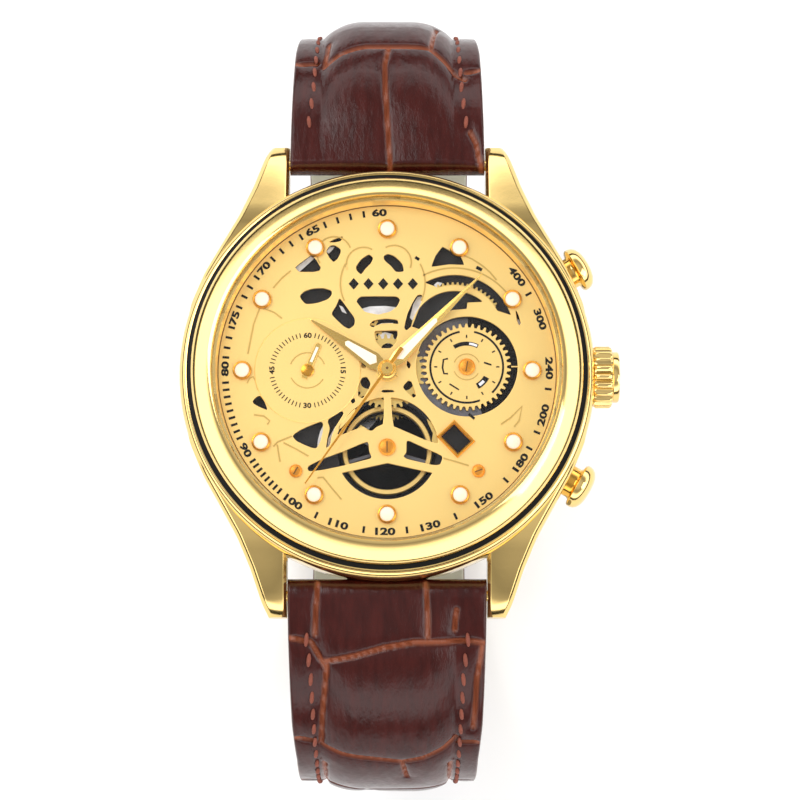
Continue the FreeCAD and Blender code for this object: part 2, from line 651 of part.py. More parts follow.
def make_escapement():
    """Pallet fork and balance. The fork's lever points at the balance staff."""
    lever = plate("pallet_lever", [
        (-0.45, 0.9), (-0.2, 1.9), (-0.75, 1.7), (-0.85, 0), (-0.75, -1.7), (-0.2, -1.9), (-0.45, -0.9),
        (0.3, -0.35), (3.3, -0.14), (3.5, -0.4), (3.95, -0.4), (3.95, -0.15), (3.6, -0.12),
        (3.6, 0.12), (3.95, 0.15), (3.95, 0.4), (3.5, 0.4), (3.3, 0.14), (0.3, 0.35),
    ], 3.0, "wheel_thick")
    aim = math.degrees(math.atan2(value("balance_y - pallet_y"), value("-pallet_x")))
    place(lever, *PALLET, 0, aim)
    keep(fuse("pallet_fork", lever, cylinder("pallet_arbor", "pivot", 2.9, *PALLET, 1.5)))

    rim_low = 5.35
    rim = turned("balance_rim", [(4.1, rim_low), (4.6, rim_low), (4.6, rim_low + 0.5), (4.1, rim_low + 0.5)])
    staff = turned("balance_staff", [
        (0, 1.5), ("pivot", 1.5), ("pivot", 2.0), (0.3, 2.0), (0.3, 2.9), (0.7, 2.9), (0.7, 3.1), (0.3, 3.1),
        (0.3, 5.2), (0.7, 5.2), (0.7, 5.8), ("pivot", 5.8), ("pivot", 6.6), (0, 6.6),
    ])
    spokes = [box(f"balance_spoke_{i}", 4.3, 0.6, 0.3, 0, 0, 0) for i in range(3)]
    for i, spoke in enumerate(spokes):
        angle = math.radians(90 + 120 * i)
        place(spoke, 0.3 * math.sin(angle), -0.3 * math.cos(angle), rim_low + 0.05, 90 + 120 * i)
    wheel = fuse("balance_wheel", rim, staff, *spokes)
    keep(place(wheel, *BALANCE))


def spiral(label, inner, outer, turns, strip, level, height, x, y):
    """A flat spiral strip, wound from the inner radius to the outer one. Its curve has no body or primitive."""
    steps = 16 * turns
    rows = []
    for side in (0, strip):
        points = []
        for i in range(steps + 1):
            angle = 2 * math.pi * turns * i / steps
            reach = inner + (outer - inner - strip) * i / steps + side
            points.append(FreeCAD.Vector(reach * math.cos(angle), reach * math.sin(angle), 0))
        rows.append(points)
    edges = []
    for points in rows:
        curve = Part.BSplineCurve()
        curve.interpolate(points)
        edges.append(curve.toShape())
    for end in (0, -1):
        edges.append(Part.LineSegment(rows[0][end], rows[1][end]).toShape())
    face = Part.Face(Part.Wire(Part.__sortEdges__(edges)))
    feature = doc.addObject("Part::Feature", label)
    feature.Label = label
    feature.Shape = face.extrude(FreeCAD.Vector(0, 0, height))
    return place(feature, x, y, level)


def make_motion_work():
    """Cannon pinion, minute wheel and hour wheel under the dial, and the display wheel at 3 o'clock."""
    cannon = driving(12, *CENTRE, 36, *MINUTE)
    minute_wheel = meshed(cannon, 36, *MINUTE)
    minute_pinion = driving(9, *MINUTE, 36, *CENTRE)
    hour_wheel = meshed(minute_pinion, 36, *CENTRE)
    display_wheel = meshed(hour_wheel, 42, *DISPLAY)
    cannon_pipe = turned("cannon_pipe", [(0.45, 5.25), (0.7, 5.25), (0.7, 8.22), (0.25, 8.22), (0.25, 5.95), (0.45, 5.95)])
    keep(fuse("cannon_pinion", cannon_pipe, cannon.build("cannon_teeth", 5.3, 0.35, "0.6")))
    keep(fuse(
        "minute_wheel", minute_wheel.build("minute_wheel_teeth", 5.36, "wheel_thick", "0.45", (5, 2.1, 0.8)),
        minute_pinion.build("minute_pinion", 5.5, 1.2, "0.45")))
    hour_pipe = turned("hour_pipe", [(0.75, 6.3), (1.05, 6.3), (1.05, 7.86), (0.75, 7.86)])
    keep(fuse("hour_wheel", hour_pipe, hour_wheel.build("hour_wheel_teeth", 6.45, "wheel_thick", "1.0", (6, 2.2, 0.75))))
    keep(display_wheel.build("display_wheel", 6.45, "wheel_thick", "0.5", (5, 2.1, 0.75)))


def hand(label, level, thick, boss, bore, corners, heading):
    """A hand lying at a level: outline towards its own +Y and boss, turned clockwise from 12."""
    blade = plate(f"{label}_blade", corners, level, thick)
    boss_piece = cylinder(f"{label}_boss", boss, thick, 0, 0, level)
    solid = fuse(f"{label}_blank", blade, boss_piece)
    hole = cylinder(f"{label}_hole", bore, f"{thick} + 2", 0, 0, f"{level} - 1")
    piece = cut(label, solid, hole)
    piece.Placement = FreeCAD.Placement(FreeCAD.Vector(), FreeCAD.Rotation(FreeCAD.Vector(0, 0, 1), -heading))
    return piece


def make_hands():
    keep(hand("hour_hand", 7.68, 0.18, 1.35, 1.05,
              [(-0.25, -2.3), (0.25, -2.3), (0.9, 1.6), (0.12, 9.3), (-0.12, 9.3), (-0.9, 1.6)], 303.7))
    keep(hand("minute_hand", 8.06, 0.16, 1.05, 0.7,
              [(-0.2, -2.0), (0.2, -2.0), (0.75, 2.0), (0.1, 13.7), (-0.1, 13.7), (-0.75, 2.0)], 44.4))
    keep(hand("seconds_hand", 8.44, 0.12, 0.75, 0.15,
              [(-0.12, -3.0), (0.12, -3.0), (0.12, 0), (0.06, 14.3), (-0.06, 14.3), (-0.12, 0)], 215))
    small = hand("small_seconds_hand", 7.2, 0.14, 0.65, 0.15,
                 [(-0.12, -0.9), (0.12, -0.9), (0.27, 0.9), (0.06, 3.0), (-0.06, 3.0), (-0.27, 0.9)], 23)
    small.setExpression("Placement.Base.x", tied("counter_x"))
    keep(small)


# ---- plates and bridges ----

JEWELLED = {"third": THIRD, "fourth": FOURTH, "escape": ESCAPE, "pallet": PALLET}
BRIDGES = {
    "train_bridge": {
        "corners": [(1.4, -1.4), (1.4, 1.3), (-1.0, 4.2), (-8.8, 7.6), (-10.8, 6.6), (-14.1, 1.9),
                    (-13.9, 0.4), (-10.2, -7.4), (-8.4, -8.3), (-3.2, -6.6)],
        "pillars": [(-12.9, 1.5), (-9.6, 6.2), (-9.0, -7.0)],
        "jewels": [CENTRE, THIRD, FOURTH, ESCAPE, PALLET],
    },
    "barrel_bridge": {
        "corners": [(2.3, 0.4), (2.3, 2.4), (0.2, 5.2), (-0.2, 12.6), (1.2, 13.4), (3.0, 13.0), (12.2, 10.2),
                    (12.9, 8.6), (15.2, 4.0), (15.2, 0), (11.4, -4.5), (9.4, -4.4)],
        "pillars": [(1.2, 12.2), (11.4, 8.9), (10.2, -3.4)],
        "jewels": [],
    },
    "balance_cock": {
        "corners": [(-1.3, -7.1), (1.3, -7.1), (2.2, -13.2), (1.4, -15.0), (-1.4, -15.0), (-2.2, -13.2)],
        "pillars": [(0, -14.0)],
        "jewels": [BALANCE],
    },
}
CLICK_PIVOT = (2.7, 10.4)
SPACE_TOP = "plate_bottom"
BRIDGE_TOP = "bridge_bottom + bridge_thick"


def jewel(name, x, y, level, height, outer="jewel_radius"):
    ring = turned(f"jewel_{name}", [
        ("pivot + pivot_play", 0), (outer, 0), (outer, height), ("pivot + pivot_play", height)])
    return place(ring, x, y, level)


def make_plates():
    base = new_body("plate_base")
    sketch = new_sketch(base, "XY_Plane", "plate_bottom")
    circle(sketch, 0, 0, "plate_radius")
    circle(sketch, 0, 0, 0.48)
    circle(sketch, 0, "balance_y", "balance_opening - 1.2")
    circle(sketch, *BARREL, 0.53)
    for arbor in JEWELLED.values():
        circle(sketch, *arbor, "jewel_radius")
    pad(base, sketch, "plate_thick")
    stem_slot = box("stem_slot", 5.4, 3.0, 3, 10.2, -1.5, "plate_bottom - 1")
    post = turned("minute_wheel_post", [(0, 5.2), (0.4, 5.2), (0.4, 6.75), (0, 6.75)])
    keep(fuse("main_plate", cut("plate_cut", base, stem_slot), place(post, *MINUTE)))

    jewels = [jewel(f"plate_{name}", *arbor, "plate_bottom", 0.5) for name, arbor in JEWELLED.items()]
    jewels.append(jewel("balance_top", *BALANCE, "dial_bottom - 0.5", 0.5, "0.9"))
    screws = []
    for label, design in BRIDGES.items():
        holes = [(*arbor, "jewel_radius") for arbor in design["jewels"]]
        if label == "barrel_bridge":
            holes.append((*BARREL, 0.53))
        flat = plate(f"{label}_flat", design["corners"], "bridge_bottom", "bridge_thick", holes)
        pieces = [flat]
        bores = []
        for i, (x, y) in enumerate(design["pillars"]):
            pieces.append(cylinder(f"{label}_pillar_{i}", 0.9, f"{SPACE_TOP} - bridge_bottom", x, y, "bridge_bottom"))
            bores.append(cylinder(f"{label}_bore_{i}", 0.35, 2.4, x, y, "bridge_bottom - 0.1"))
            head = turned(f"{label}_screw_{i}", [
                (0, 0.95), (0.7, 0.95), (0.7, 1.28), (0.35, 1.28), (0.35, 3.5), (0, 3.5)])
            slot = box(f"{label}_screw_slot_{i}", 2, 0.2, 0.15, -1, -0.1, 0.9)
            screws.append(place(cut(f"{label}_screw_cut_{i}", head, slot), x, y, 0))
        if label == "barrel_bridge":
            pieces.append(cylinder("crown_wheel_post", 0.55, 0.35, *CROWNWHEEL, BRIDGE_TOP))
            pieces.append(cylinder("click_post", 0.3, 0.35, *CLICK_PIVOT, BRIDGE_TOP))
        solid = fuse(f"{label}_blank", *pieces)
        tool = fuse(f"{label}_bores", *bores) if len(bores) > 1 else bores[0]
        keep(cut(label, solid, tool))
        for i, arbor in enumerate(design["jewels"]):
            jewels.append(jewel(f"{label}_{i}", *arbor, "bridge_bottom + 0.05", 0.5))
    keep(group("jewels", *jewels), group("movement_screws", *screws))

    ring = turned("movement_ring_blank", [
        ("plate_radius + 0.05", 1.9), ("case_bore - 0.05", 1.9),
        ("case_bore - 0.05", "dial_bottom"), ("plate_radius + 0.05", "dial_bottom")])
    tools = [radial(cylinder("ring_stem_hole", 0.7, 4), 15, 0)]
    for name, angle in PUSHER_ANGLES.items():
        tools.append(radial(cylinder(f"ring_hole_{name}", "pusher_stem + 0.2", 4), 15, angle))
    keep(cut("movement_ring", ring, fuse("movement_ring_holes", *tools)))


# ---- winding and setting ----

def make_keyless_work():
    ratchet = driving(40, *BARREL, 44, *CROWNWHEEL)
    crown_wheel = meshed(ratchet, 44, *CROWNWHEEL)
    keep(ratchet.build("ratchet_wheel", 1.95, 0.25, "0.8", (4, 2.2, 0.7)))
    keep(crown_wheel.build("crown_wheel", 1.95, 0.25, "0.6", (5, 2.2, 0.8)))
    click = plate("click", [(-0.7, -0.5), (0.5, -0.8), (1.9, -1.25), (2.05, -0.95), (0.9, 0.4), (-0.3, 0.8)],
                  1.95, 0.25, [(0, 0, 0.35)])
    keep(place(click, *CLICK_PIVOT))
    pinion = Wheel(18, "1.03", 0, 0).build("winding_pinion", 0, 1.0, "stem_radius + 0.04")
    keep(radial(pinion, 13.3, 0))
    clutch = Wheel(14, "0.88", 0, 0).build("sliding_clutch", 0, 1.4, "stem_radius + 0.04")
    keep(radial(clutch, 11.6, 0))
    keep(plate("setting_lever", [
        (14.5, 0.75), (14.5, 1.6), (13.6, 3.2), (14.3, 3.7), (15.1, 2.0), (15.3, 0.75)], 3.0, 0.8))
    keep(plate("yoke", [
        (12.1, 1.1), (12.5, 1.1), (12.6, 2.4), (12.1, 4.2), (11.5, 4.2), (12.0, 2.3)], 3.0, 0.8))


# ---- strap and buckle ----

def direction(degrees):
    angle = math.radians(degrees)
    return FreeCAD.Vector(0, math.cos(angle), math.sin(angle))


class StrapPath:
    """The middle line of one half in the YZ plane: straight, shoulder, long round, straight under the case."""

    def __init__(self, side, shoulder, bottom, straight):
        self.side = side
        self.shoulder = shoulder
        self.bottom = bottom
        self.straight = straight
        self.lead = -value("shoulder_drop")
        self.bar = FreeCAD.Vector(0, value("bar_y"), value("bar_level"))
        first_end = self.bar + direction(self.lead) * value("strap_start")
        self.first_centre = first_end - self.normal(self.lead) * shoulder
        side_point = self.first_centre + self.normal(-90) * shoulder
        self.round = side_point.z - bottom
        self.second_centre = side_point - self.normal(-90) * self.round
        self.end = self.second_centre + self.normal(-180) * self.round + direction(-180) * straight

    @staticmethod
    def normal(heading):
        """The unit vector to the outside of the strap at a heading."""
        return direction(heading + 90)

    def edges(self, offset, skip):
        """The stretches of the line at an offset to the outside, starting a little past the bar."""
        start = self.bar + direction(self.lead) * skip + self.normal(self.lead) * offset
        result = []
        for centre, radius, begin, finish in (
                (self.first_centre, self.shoulder, self.lead, -90), (self.second_centre, self.round, -90, -180)):
            points = [centre + self.normal(begin + (finish - begin) * share) * (radius + offset)
                      for share in (0, 0.5, 1)]
            if (points[0] - start).Length > 1e-6:
                result.append(Part.LineSegment(start, points[0]).toShape())
            result.append(Part.Arc(*points).toShape())
            start = points[2]
        last = self.end + self.normal(-180) * offset
        result.append(Part.LineSegment(start, last).toShape())
        return result

    def band(self, inner, outer, skip, width):
        """The solid between two offsets, as wide as the strap."""
        low = self.edges(inner, skip)
        high = self.edges(outer, skip)
        caps = [Part.LineSegment(low[0].Vertexes[0].Point, high[0].Vertexes[0].Point).toShape(),
                Part.LineSegment(low[-1].Vertexes[-1].Point, high[-1].Vertexes[-1].Point).toShape()]
        face = Part.Face(Part.Wire(Part.__sortEdges__(low + high + caps)))
        face.translate(FreeCAD.Vector(-width / 2, 0, 0))
        return face.extrude(FreeCAD.Vector(width, 0, 0))


def rod(radius, start, finish):
    """A round rod between two points."""
    along = finish - start
    return Part.makeCylinder(radius, along.Length, start, along)


def flipped(shape, side):
    """The shape itself for the 12 o'clock half, its mirror image for the 6 o'clock half."""
    return shape if side > 0 else shape.mirror(FreeCAD.Vector(), FreeCAD.Vector(0, 1, 0))


def feature(label, shape):
    item = doc.addObject("Part::Feature", label)
    item.Label = label
    item.Shape = shape
    item.Placement = FreeCAD.Placement()
    return item


def taper_tools():
    """Two wedges that narrow the strap from the lugs' width to the buckle's as it goes down."""
    wide = value("strap_width") / 2 + 0.01
    narrow = wide - 0.9
    tools = []
    for sign in (-1, 1):
        corners = [(wide, -6), (narrow, -36), (narrow, -60), (wide + 5, -60), (wide + 5, -6), (wide, -6)]
        wire = Part.makePolygon([FreeCAD.Vector(sign * x, -60, z) for x, z in corners])
        tools.append(Part.Face(wire).extrude(FreeCAD.Vector(0, 120, 0)))
    return tools


def make_strap():
    width = value("strap_width")
    half = value("strap_thick") / 2
    split = value("lining_thick") - half
    head_end = 1.32
    short = StrapPath(1, 14.7, value("short_bottom"), value("short_straight"))
    long = StrapPath(-1, 17.2, value("long_bottom"), value("long_straight"))
    wedges = taper_tools()
    across = FreeCAD.Vector(width, 0, 0)
    to_edge = FreeCAD.Vector(-width / 2, 0, 0)
    for name, path in (("strap_12", short), ("strap_6", long)):
        head = rod(half, path.bar + to_edge, path.bar + to_edge + across)
        bar_hole = rod(value("bar_radius") + 0.06, path.bar + to_edge * 2, path.bar - to_edge * 2)
        leather = path.band(split, half, 0, width).fuse(head)
        lining = path.band(-half, split, head_end, width)
        tools = [bar_hole, *wedges]
        if path is short:
            tail_bar = rod(value("bar_radius") + 0.06, path.end + to_edge * 2, path.end - to_edge * 2)
            tongue_slot = Part.makeBox(2.6, 8, 8, path.end + FreeCAD.Vector(-1.3, -4, -4))
            leather = leather.fuse(rod(half, path.end + to_edge, path.end - to_edge))
            lining = lining.cut(Part.makeBox(40, 1.4, 6, path.end + FreeCAD.Vector(-20, -0.1, -3)))
            tools += [tail_bar, tongue_slot]
        else:
            for i in range(6):
                at = path.end + FreeCAD.Vector(0, 12 + value("hole_pitch") * i, -4)
                tools.append(Part.makeCylinder(0.9, 8, at))
        keep(feature(f"{name}_leather", flipped(leather.cut(tools).removeSplitter(), path.side)),
             feature(f"{name}_lining", flipped(lining.cut(tools).removeSplitter(), path.side)))
    make_buckle(short.end)


def make_buckle(end):
    """Buckle on the short half's end: the frame runs on towards -Y, the tongue lies under it."""
    wire = value("buckle_wire")
    inside = value("strap_width") / 2 - 0.9 + 0.3
    reach = 8.4
    corner = FreeCAD.Vector(inside + wire, 0, 0)
    bar = rod(value("bar_radius"), end - corner * 1.02, end + corner * 1.02)
    keep(feature("buckle_spring_bar", bar))
    bow = end + FreeCAD.Vector(0, -reach, 0)
    frame = rod(wire, bow - corner, bow + corner)
    for sign in (-1, 1):
        side = corner * sign
        frame = frame.fuse([rod(wire, end + side, bow + side), Part.makeSphere(wire, bow + side),
                            Part.makeSphere(wire * 1.25, end + side)])
    bore = rod(value("bar_radius") + 0.03, end - corner * 1.03, end + corner * 1.03)
    keep(feature("buckle_frame", frame.cut(bore).removeSplitter()))
    eye = rod(1.25, end - FreeCAD.Vector(0.8, 0, 0), end + FreeCAD.Vector(0.8, 0, 0))
    prong_profile = [(0.6, -0.9), (-1.0, -1.25), (-6.9, -1.95), (-10.1, -1.75), (-10.1, -1.25), (-6.9, -1.25),
                     (-1.0, 0.3), (0.6, 0.5)]
    points = [end + FreeCAD.Vector(-0.8, y, z) for y, z in prong_profile]
    prong = Part.Face(Part.makePolygon([*points, points[0]])).extrude(FreeCAD.Vector(1.6, 0, 0))
    clearance = rod(wire + 0.08, bow - corner, bow + corner)
    tongue = eye.fuse(prong).cut([rod(value("bar_radius") + 0.04, end - corner, end + corner), clearance])
    keep(feature("buckle_tongue", tongue.removeSplitter()))

    half = value("strap_thick") / 2
    for label, near, above in (("fixed_keeper", 5.5, 0), ("free_keeper", 11.5, 0.3)):
        top = half + above
        bottom = -half - 1.6
        wall = 0.9
        outer = Part.makeBox(2 * (inside + wall), 4.5, top - bottom + 2 * wall,
                             end + FreeCAD.Vector(-inside - wall, near, bottom - wall))
        inner = Part.makeBox(2 * inside, 6, top - bottom, end + FreeCAD.Vector(-inside, near - 1, bottom))
        keep(feature(label, outer.cut(inner)))


# ---- build, check and write ----

make_case()
make_crown_and_pushers()
make_bars()
make_dial()
make_train()
make_escapement()
make_motion_work()
make_hands()
make_plates()
make_keyless_work()
keep(spiral("mainspring", 0.95, 4.95, 7, 0.16, 2.85, 0.7, *BARREL))
keep(spiral("hairspring", 0.45, 3.2, 9, 0.06, 2.25, 0.15, *BALANCE))
make_strap()

doc.recompute()
for item in doc.Objects:
    if "Invalid" in item.State or "Error" in item.State:
        raise RuntimeError(f"{item.Name} failed: {item.State}")
for item in PARTS:
    if item.Shape.isNull() or not item.Shape.isValid():
        raise RuntimeError(f"{item.Label} has no valid shape")

os.makedirs("parts", exist_ok=True)
for item in PARTS:
    item.Shape.exportStep(f"parts/{item.Label}.step")
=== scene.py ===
"""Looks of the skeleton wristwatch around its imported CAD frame.

Lengths in the tables below are in millimetres in the frame's axes: the dial faces +Z, 12 o'clock is +Y
and the crown is +X. The strap's tables are in millimetres too, but along it from its spring bar and across it
from its middle line. Angles of hands and numerals are clockwise from 12 o'clock, in degrees.
"""

import math
import random

import bmesh
import bpy
import numpy as np
from mathutils import Matrix, Vector


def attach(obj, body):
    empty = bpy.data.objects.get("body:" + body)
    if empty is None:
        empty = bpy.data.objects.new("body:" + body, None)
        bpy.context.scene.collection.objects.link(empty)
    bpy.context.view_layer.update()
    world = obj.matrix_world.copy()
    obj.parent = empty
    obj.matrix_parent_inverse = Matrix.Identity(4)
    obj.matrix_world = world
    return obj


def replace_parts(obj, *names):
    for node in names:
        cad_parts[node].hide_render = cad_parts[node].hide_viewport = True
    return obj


MM = 0.001
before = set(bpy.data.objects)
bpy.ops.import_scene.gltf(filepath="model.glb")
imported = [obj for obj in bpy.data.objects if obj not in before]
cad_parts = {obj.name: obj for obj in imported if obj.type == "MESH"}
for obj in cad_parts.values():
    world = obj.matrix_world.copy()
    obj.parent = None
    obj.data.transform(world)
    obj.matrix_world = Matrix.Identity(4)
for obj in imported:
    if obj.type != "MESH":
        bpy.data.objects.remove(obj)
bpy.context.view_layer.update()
scene = bpy.context.scene

DIAL_TOP = 7.3
CENTRE = (0.0, 0.0)
COUNTER = (-8.04, 0.0)
DISPLAY = (8.05, 0.44)
BALANCE = (0.0, -7.93)
BRIDGE_SCREW = (0.0, -7.85)
BARREL = (6.8, 3.85)
DATE_AT = (6.93, -7.0)
DATE_TURN = -46.5


# ---- colours and materials ----

def srgb(red, green, blue):
    """Linear colour for an 8-bit screen colour."""
    def linear(level):
        share = level / 255
        return share / 12.92 if share <= 0.04045 else ((share + 0.055) / 1.055) ** 2.4
    return (linear(red), linear(green), linear(blue), 1.0)


def darker(colour, share):
    return (colour[0] * share, colour[1] * share, colour[2] * share, 1.0)


def node(nodes, kind, **settings):
    """A new shader node with some input sockets set; a space in a socket's name is written as _."""
    made = nodes.new("ShaderNode" + kind)
    for socket, value in settings.items():
        made.inputs[socket.replace("_", " ")].default_value = value
    return made


def material(name, colour, metallic=0.0, roughness=0.5, variation=0.06, patch=0.004, grain=0.0,
             grain_size=0.0004,
             rough_spread=0.04, coat=0.0, specular=0.5, stretch=(1, 1, 1)):
    """A shader whose colour drifts over patches, whose gloss varies and whose surface has a fine grain."""
    made = bpy.data.materials.new(name)
    made.use_nodes = True
    nodes, links = made.node_tree.nodes, made.node_tree.links
    shader = nodes["Principled BSDF"]
    shader.inputs["Metallic"].default_value = metallic
    shader.inputs["Coat Weight"].default_value = coat
    shader.inputs["Coat Roughness"].default_value = 0.12
    shader.inputs["Specular IOR Level"].default_value = specular
    place = node(nodes, "TexCoord")
    scaled = node(nodes, "Mapping", Scale=stretch)
    links.new(place.outputs["Object"], scaled.inputs["Vector"])
    patches = node(nodes, "TexNoise", Scale=1 / patch, Detail=4)
    links.new(scaled.outputs["Vector"], patches.inputs["Vector"])
    ramp = nodes.new("ShaderNodeValToRGB")
    ramp.color_ramp.elements[0].position = 0.3
    ramp.color_ramp.elements[0].color = darker(colour, 1 - variation)
    ramp.color_ramp.elements[1].position = 0.7
    ramp.color_ramp.elements[1].color = colour
    links.new(patches.outputs["Fac"], ramp.inputs["Fac"])
    links.new(ramp.outputs["Color"], shader.inputs["Base Color"])
    gloss = node(nodes, "MapRange", To_Min=max(roughness - rough_spread, 0.02),
                 To_Max=roughness + rough_spread)
    links.new(patches.outputs["Fac"], gloss.inputs["Value"])
    links.new(gloss.outputs["Result"], shader.inputs["Roughness"])
    if grain:
        speckle = node(nodes, "TexNoise", Scale=1 / grain_size, Detail=3)
        links.new(scaled.outputs["Vector"], speckle.inputs["Vector"])
        bump = node(nodes, "Bump", Strength=grain, Distance=0.0001)
        links.new(speckle.outputs["Fac"], bump.inputs["Height"])
        links.new(bump.outputs["Normal"], shader.inputs["Normal"])
    return made


def leather_material(name, face, crease, roughness, coat):
    """Leather whose creases, given by the mesh's own crease attribute, are paler than its scales."""
    made = material(name, face, roughness=roughness, variation=0.4, patch=0.003, grain=0.25,
                    grain_size=0.0003,
                    rough_spread=0.06, coat=coat, specular=0.22, stretch=(4, 1, 1))
    nodes, links = made.node_tree.nodes, made.node_tree.links
    shader = nodes["Principled BSDF"]
    grain = shader.inputs["Normal"].links[0].from_node
    place = node(nodes, "TexCoord")
    stretched = node(nodes, "Mapping", Scale=(3, 1, 1))
    links.new(place.outputs["Object"], stretched.inputs["Vector"])
    wrinkles = node(nodes, "TexNoise", Scale=500, Detail=2)
    bump = node(nodes, "Bump", Strength=0.2, Distance=0.0004)
    links.new(stretched.outputs["Vector"], wrinkles.inputs["Vector"])
    links.new(wrinkles.outputs["Fac"], bump.inputs["Height"])
    links.new(grain.outputs["Normal"], bump.inputs["Normal"])
    for socket in ("Normal", "Coat Normal"):
        links.new(bump.outputs["Normal"], shader.inputs[socket])
    ramp = shader.inputs["Base Color"].links[0].from_node
    depth = nodes.new("ShaderNodeAttribute")
    depth.attribute_name = "crease"
    mix = nodes.new("ShaderNodeMix")
    mix.data_type = "RGBA"
    mix.inputs["B"].default_value = crease
    links.new(depth.outputs["Fac"], mix.inputs["Factor"])
    links.new(ramp.outputs["Color"], mix.inputs["A"])
    links.new(mix.outputs["Result"], shader.inputs["Base Color"])
    return made


def crystal_material():
    made = bpy.data.materials.new("clear_crystal")
    made.use_nodes = True
    nodes, links = made.node_tree.nodes, made.node_tree.links
    nodes.remove(nodes["Principled BSDF"])
    clear = nodes.new("ShaderNodeBsdfTransparent")
    shine = nodes.new("ShaderNodeBsdfGlossy")
    shine.inputs["Roughness"].default_value = 0.03
    mix = nodes.new("ShaderNodeMixShader")
    mix.inputs["Fac"].default_value = 0.012
    links.new(clear.outputs["BSDF"], mix.inputs[1])
    links.new(shine.outputs["BSDF"], mix.inputs[2])
    links.new(mix.outputs["Shader"], nodes["Material Output"].inputs["Surface"])
    return made


GOLD_DIAL = material("satin_gold_dial", srgb(251, 215, 134), 0.75, 0.42, 0.03, 0.006, 0.12, 0.0002)
# A darker gold: painted shade along the raised relief lines of the dial, counter and display.
GOLD_RELIEF_SHADED = material("gold_relief_painted_shade", srgb(212, 176, 98), 0.75, 0.38, 0.08, 0.004)
GOLD_CASE = material("polished_gold_case", srgb(238, 205, 132), 1.0, 0.1, 0.05, 0.012, 0.03, 0.0006)
GOLD_SATIN = material("brushed_gold_case", srgb(232, 198, 124), 1.0, 0.26, 0.08, 0.002, 0.1, 0.0003,
                      stretch=(1, 1, 9))
GOLD_HAND = material("polished_gold_hand", srgb(240, 200, 112), 1.0, 0.2, 0.06, 0.003)
GOLD_DEEP = material("deep_gold", srgb(222, 158, 58), 1.0, 0.28, 0.12, 0.001)
GOLD_WHEEL = material("gilt_wheel", srgb(240, 208, 126), 0.85, 0.35, 0.1, 0.0015, 0.1, 0.0002)
ORANGE_SCREW = material("orange_gilt_screw", srgb(222, 146, 46), 0.7, 0.38, 0.1, 0.0008, 0.1, 0.0001)
STEEL = material("brushed_steel", srgb(205, 206, 212), 1.0, 0.28, 0.25, 0.0012, 0.08, 0.0002, 0.08,
                 stretch=(1, 5, 1))
# Near-white, barely metallic: painted highlights where the movement's steel and the display catch the light.
WHITE_HIGHLIGHT = material("white_painted_highlight", srgb(246, 246, 250), 0.2, 0.35, 0.3, 0.0008, 0.08, 0.0002)
STEEL_DARK = material("shaded_steel", srgb(128, 128, 134), 1.0, 0.4, 0.4, 0.0015, 0.08, 0.0002)
# Dark grey: the movement's own plate and parts, and also sheets of painted shade under the dial.
DARK_PLATE_AND_SHADE = material("dark_plate_and_painted_shade", srgb(56, 56, 58), 0.0, 0.7, 0.12, 0.002, 0.1, 0.0002,
                      specular=0.1)
# Black for the print, also used for a painted dark reflection in the bezel's groove.
BLACK = material("black_print_and_painted_reflection", srgb(14, 13, 12), 0.0, 0.5, 0.3, 0.0008, specular=0.2)
# A darker brownish gold: painted shade in the crevice at the dial's rim, in screw slots and at the needle's
# centre.
SHADED_GOLD_LINE = material("painted_shade_gold_line", srgb(120, 84, 34), 0.6, 0.4, 0.2, 0.002)
LUME = material("cream_lume", srgb(250, 234, 208), 0.0, 0.55, 0.03, 0.0008, 0.2, 0.00008)
RUBY = material("red_jewel", srgb(190, 30, 60), 0.0, 0.12, 0.2, 0.0004, coat=0.5)
RUBBER = material("seal_rubber", srgb(24, 24, 25), 0.0, 0.7, 0.2, 0.001)
LEATHER = leather_material("scaled_leather", srgb(64, 19, 15), srgb(140, 76, 50), 0.2, 0.12)
LEATHER_EDGE = material("leather_edge", srgb(92, 50, 38), 0.0, 0.5, 0.3, 0.001, 0.4, 0.0002)
LINING = material("nubuck_lining", srgb(168, 166, 150), 0.0, 0.85, 0.18, 0.0015, 0.6, 0.00015, specular=0.2)
THREAD = material("brown_thread", srgb(140, 70, 50), 0.0, 0.7, 0.3, 0.0004, 0.6, 0.0001)
CRYSTAL = crystal_material()


# ---- mesh helpers ----

def new_piece(name, vertices, faces, *materials, smooth=True):
    """A mesh object from millimetre vertices."""
    mesh = bpy.data.meshes.new(name)
    mesh.from_pydata([(x * MM, y * MM, z * MM) for x, y, z in vertices], [], faces)
    mesh.validate()
    for item in materials:
        mesh.materials.append(item)
    if smooth:
        for face in mesh.polygons:
            face.use_smooth = True
    obj = bpy.data.objects.new(name, mesh)
    scene.collection.objects.link(obj)
    return obj


def sharpen(obj, degrees=35):
    obj.data.set_sharp_from_angle(angle=math.radians(degrees))
    return obj


def belongs(obj, body, slot, *nodes):
    """Fixes a finished piece to a CAD body and hides the nodes it stands for; the slot argument is not used.
    """
    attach(obj, body)
    if nodes:
        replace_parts(obj, *nodes)
    return obj


def joined(name, pieces):
    """One object made of several."""
    bpy.ops.object.select_all(action="DESELECT")
    for piece in pieces:
        piece.select_set(True)
    bpy.context.view_layer.objects.active = pieces[0]
    bpy.ops.object.join()
    pieces[0].name = name
    pieces[0].data.name = name
    return pieces[0]


def moved(obj, x=0.0, y=0.0, z=0.0, turn=0.0):
    """The object's mesh turned about +Z by degrees, then shifted by millimetres."""
    obj.data.transform(Matrix.Translation((x * MM, y * MM, z * MM)) @ Matrix.Rotation(math.radians(turn), 4,
                                                                                      "Z"))
    return obj


def facing(obj, angle, level):
    """Turns a mesh made about +Z so that its axis points outward at angle in the dial's plane, at a level."""
    turn = Matrix.Rotation(math.radians(angle), 4, "Z") @ Matrix.Rotation(math.radians(90), 4, "Y")
    obj.data.transform(Matrix.Translation((0, 0, level * MM)) @ turn)
    return obj


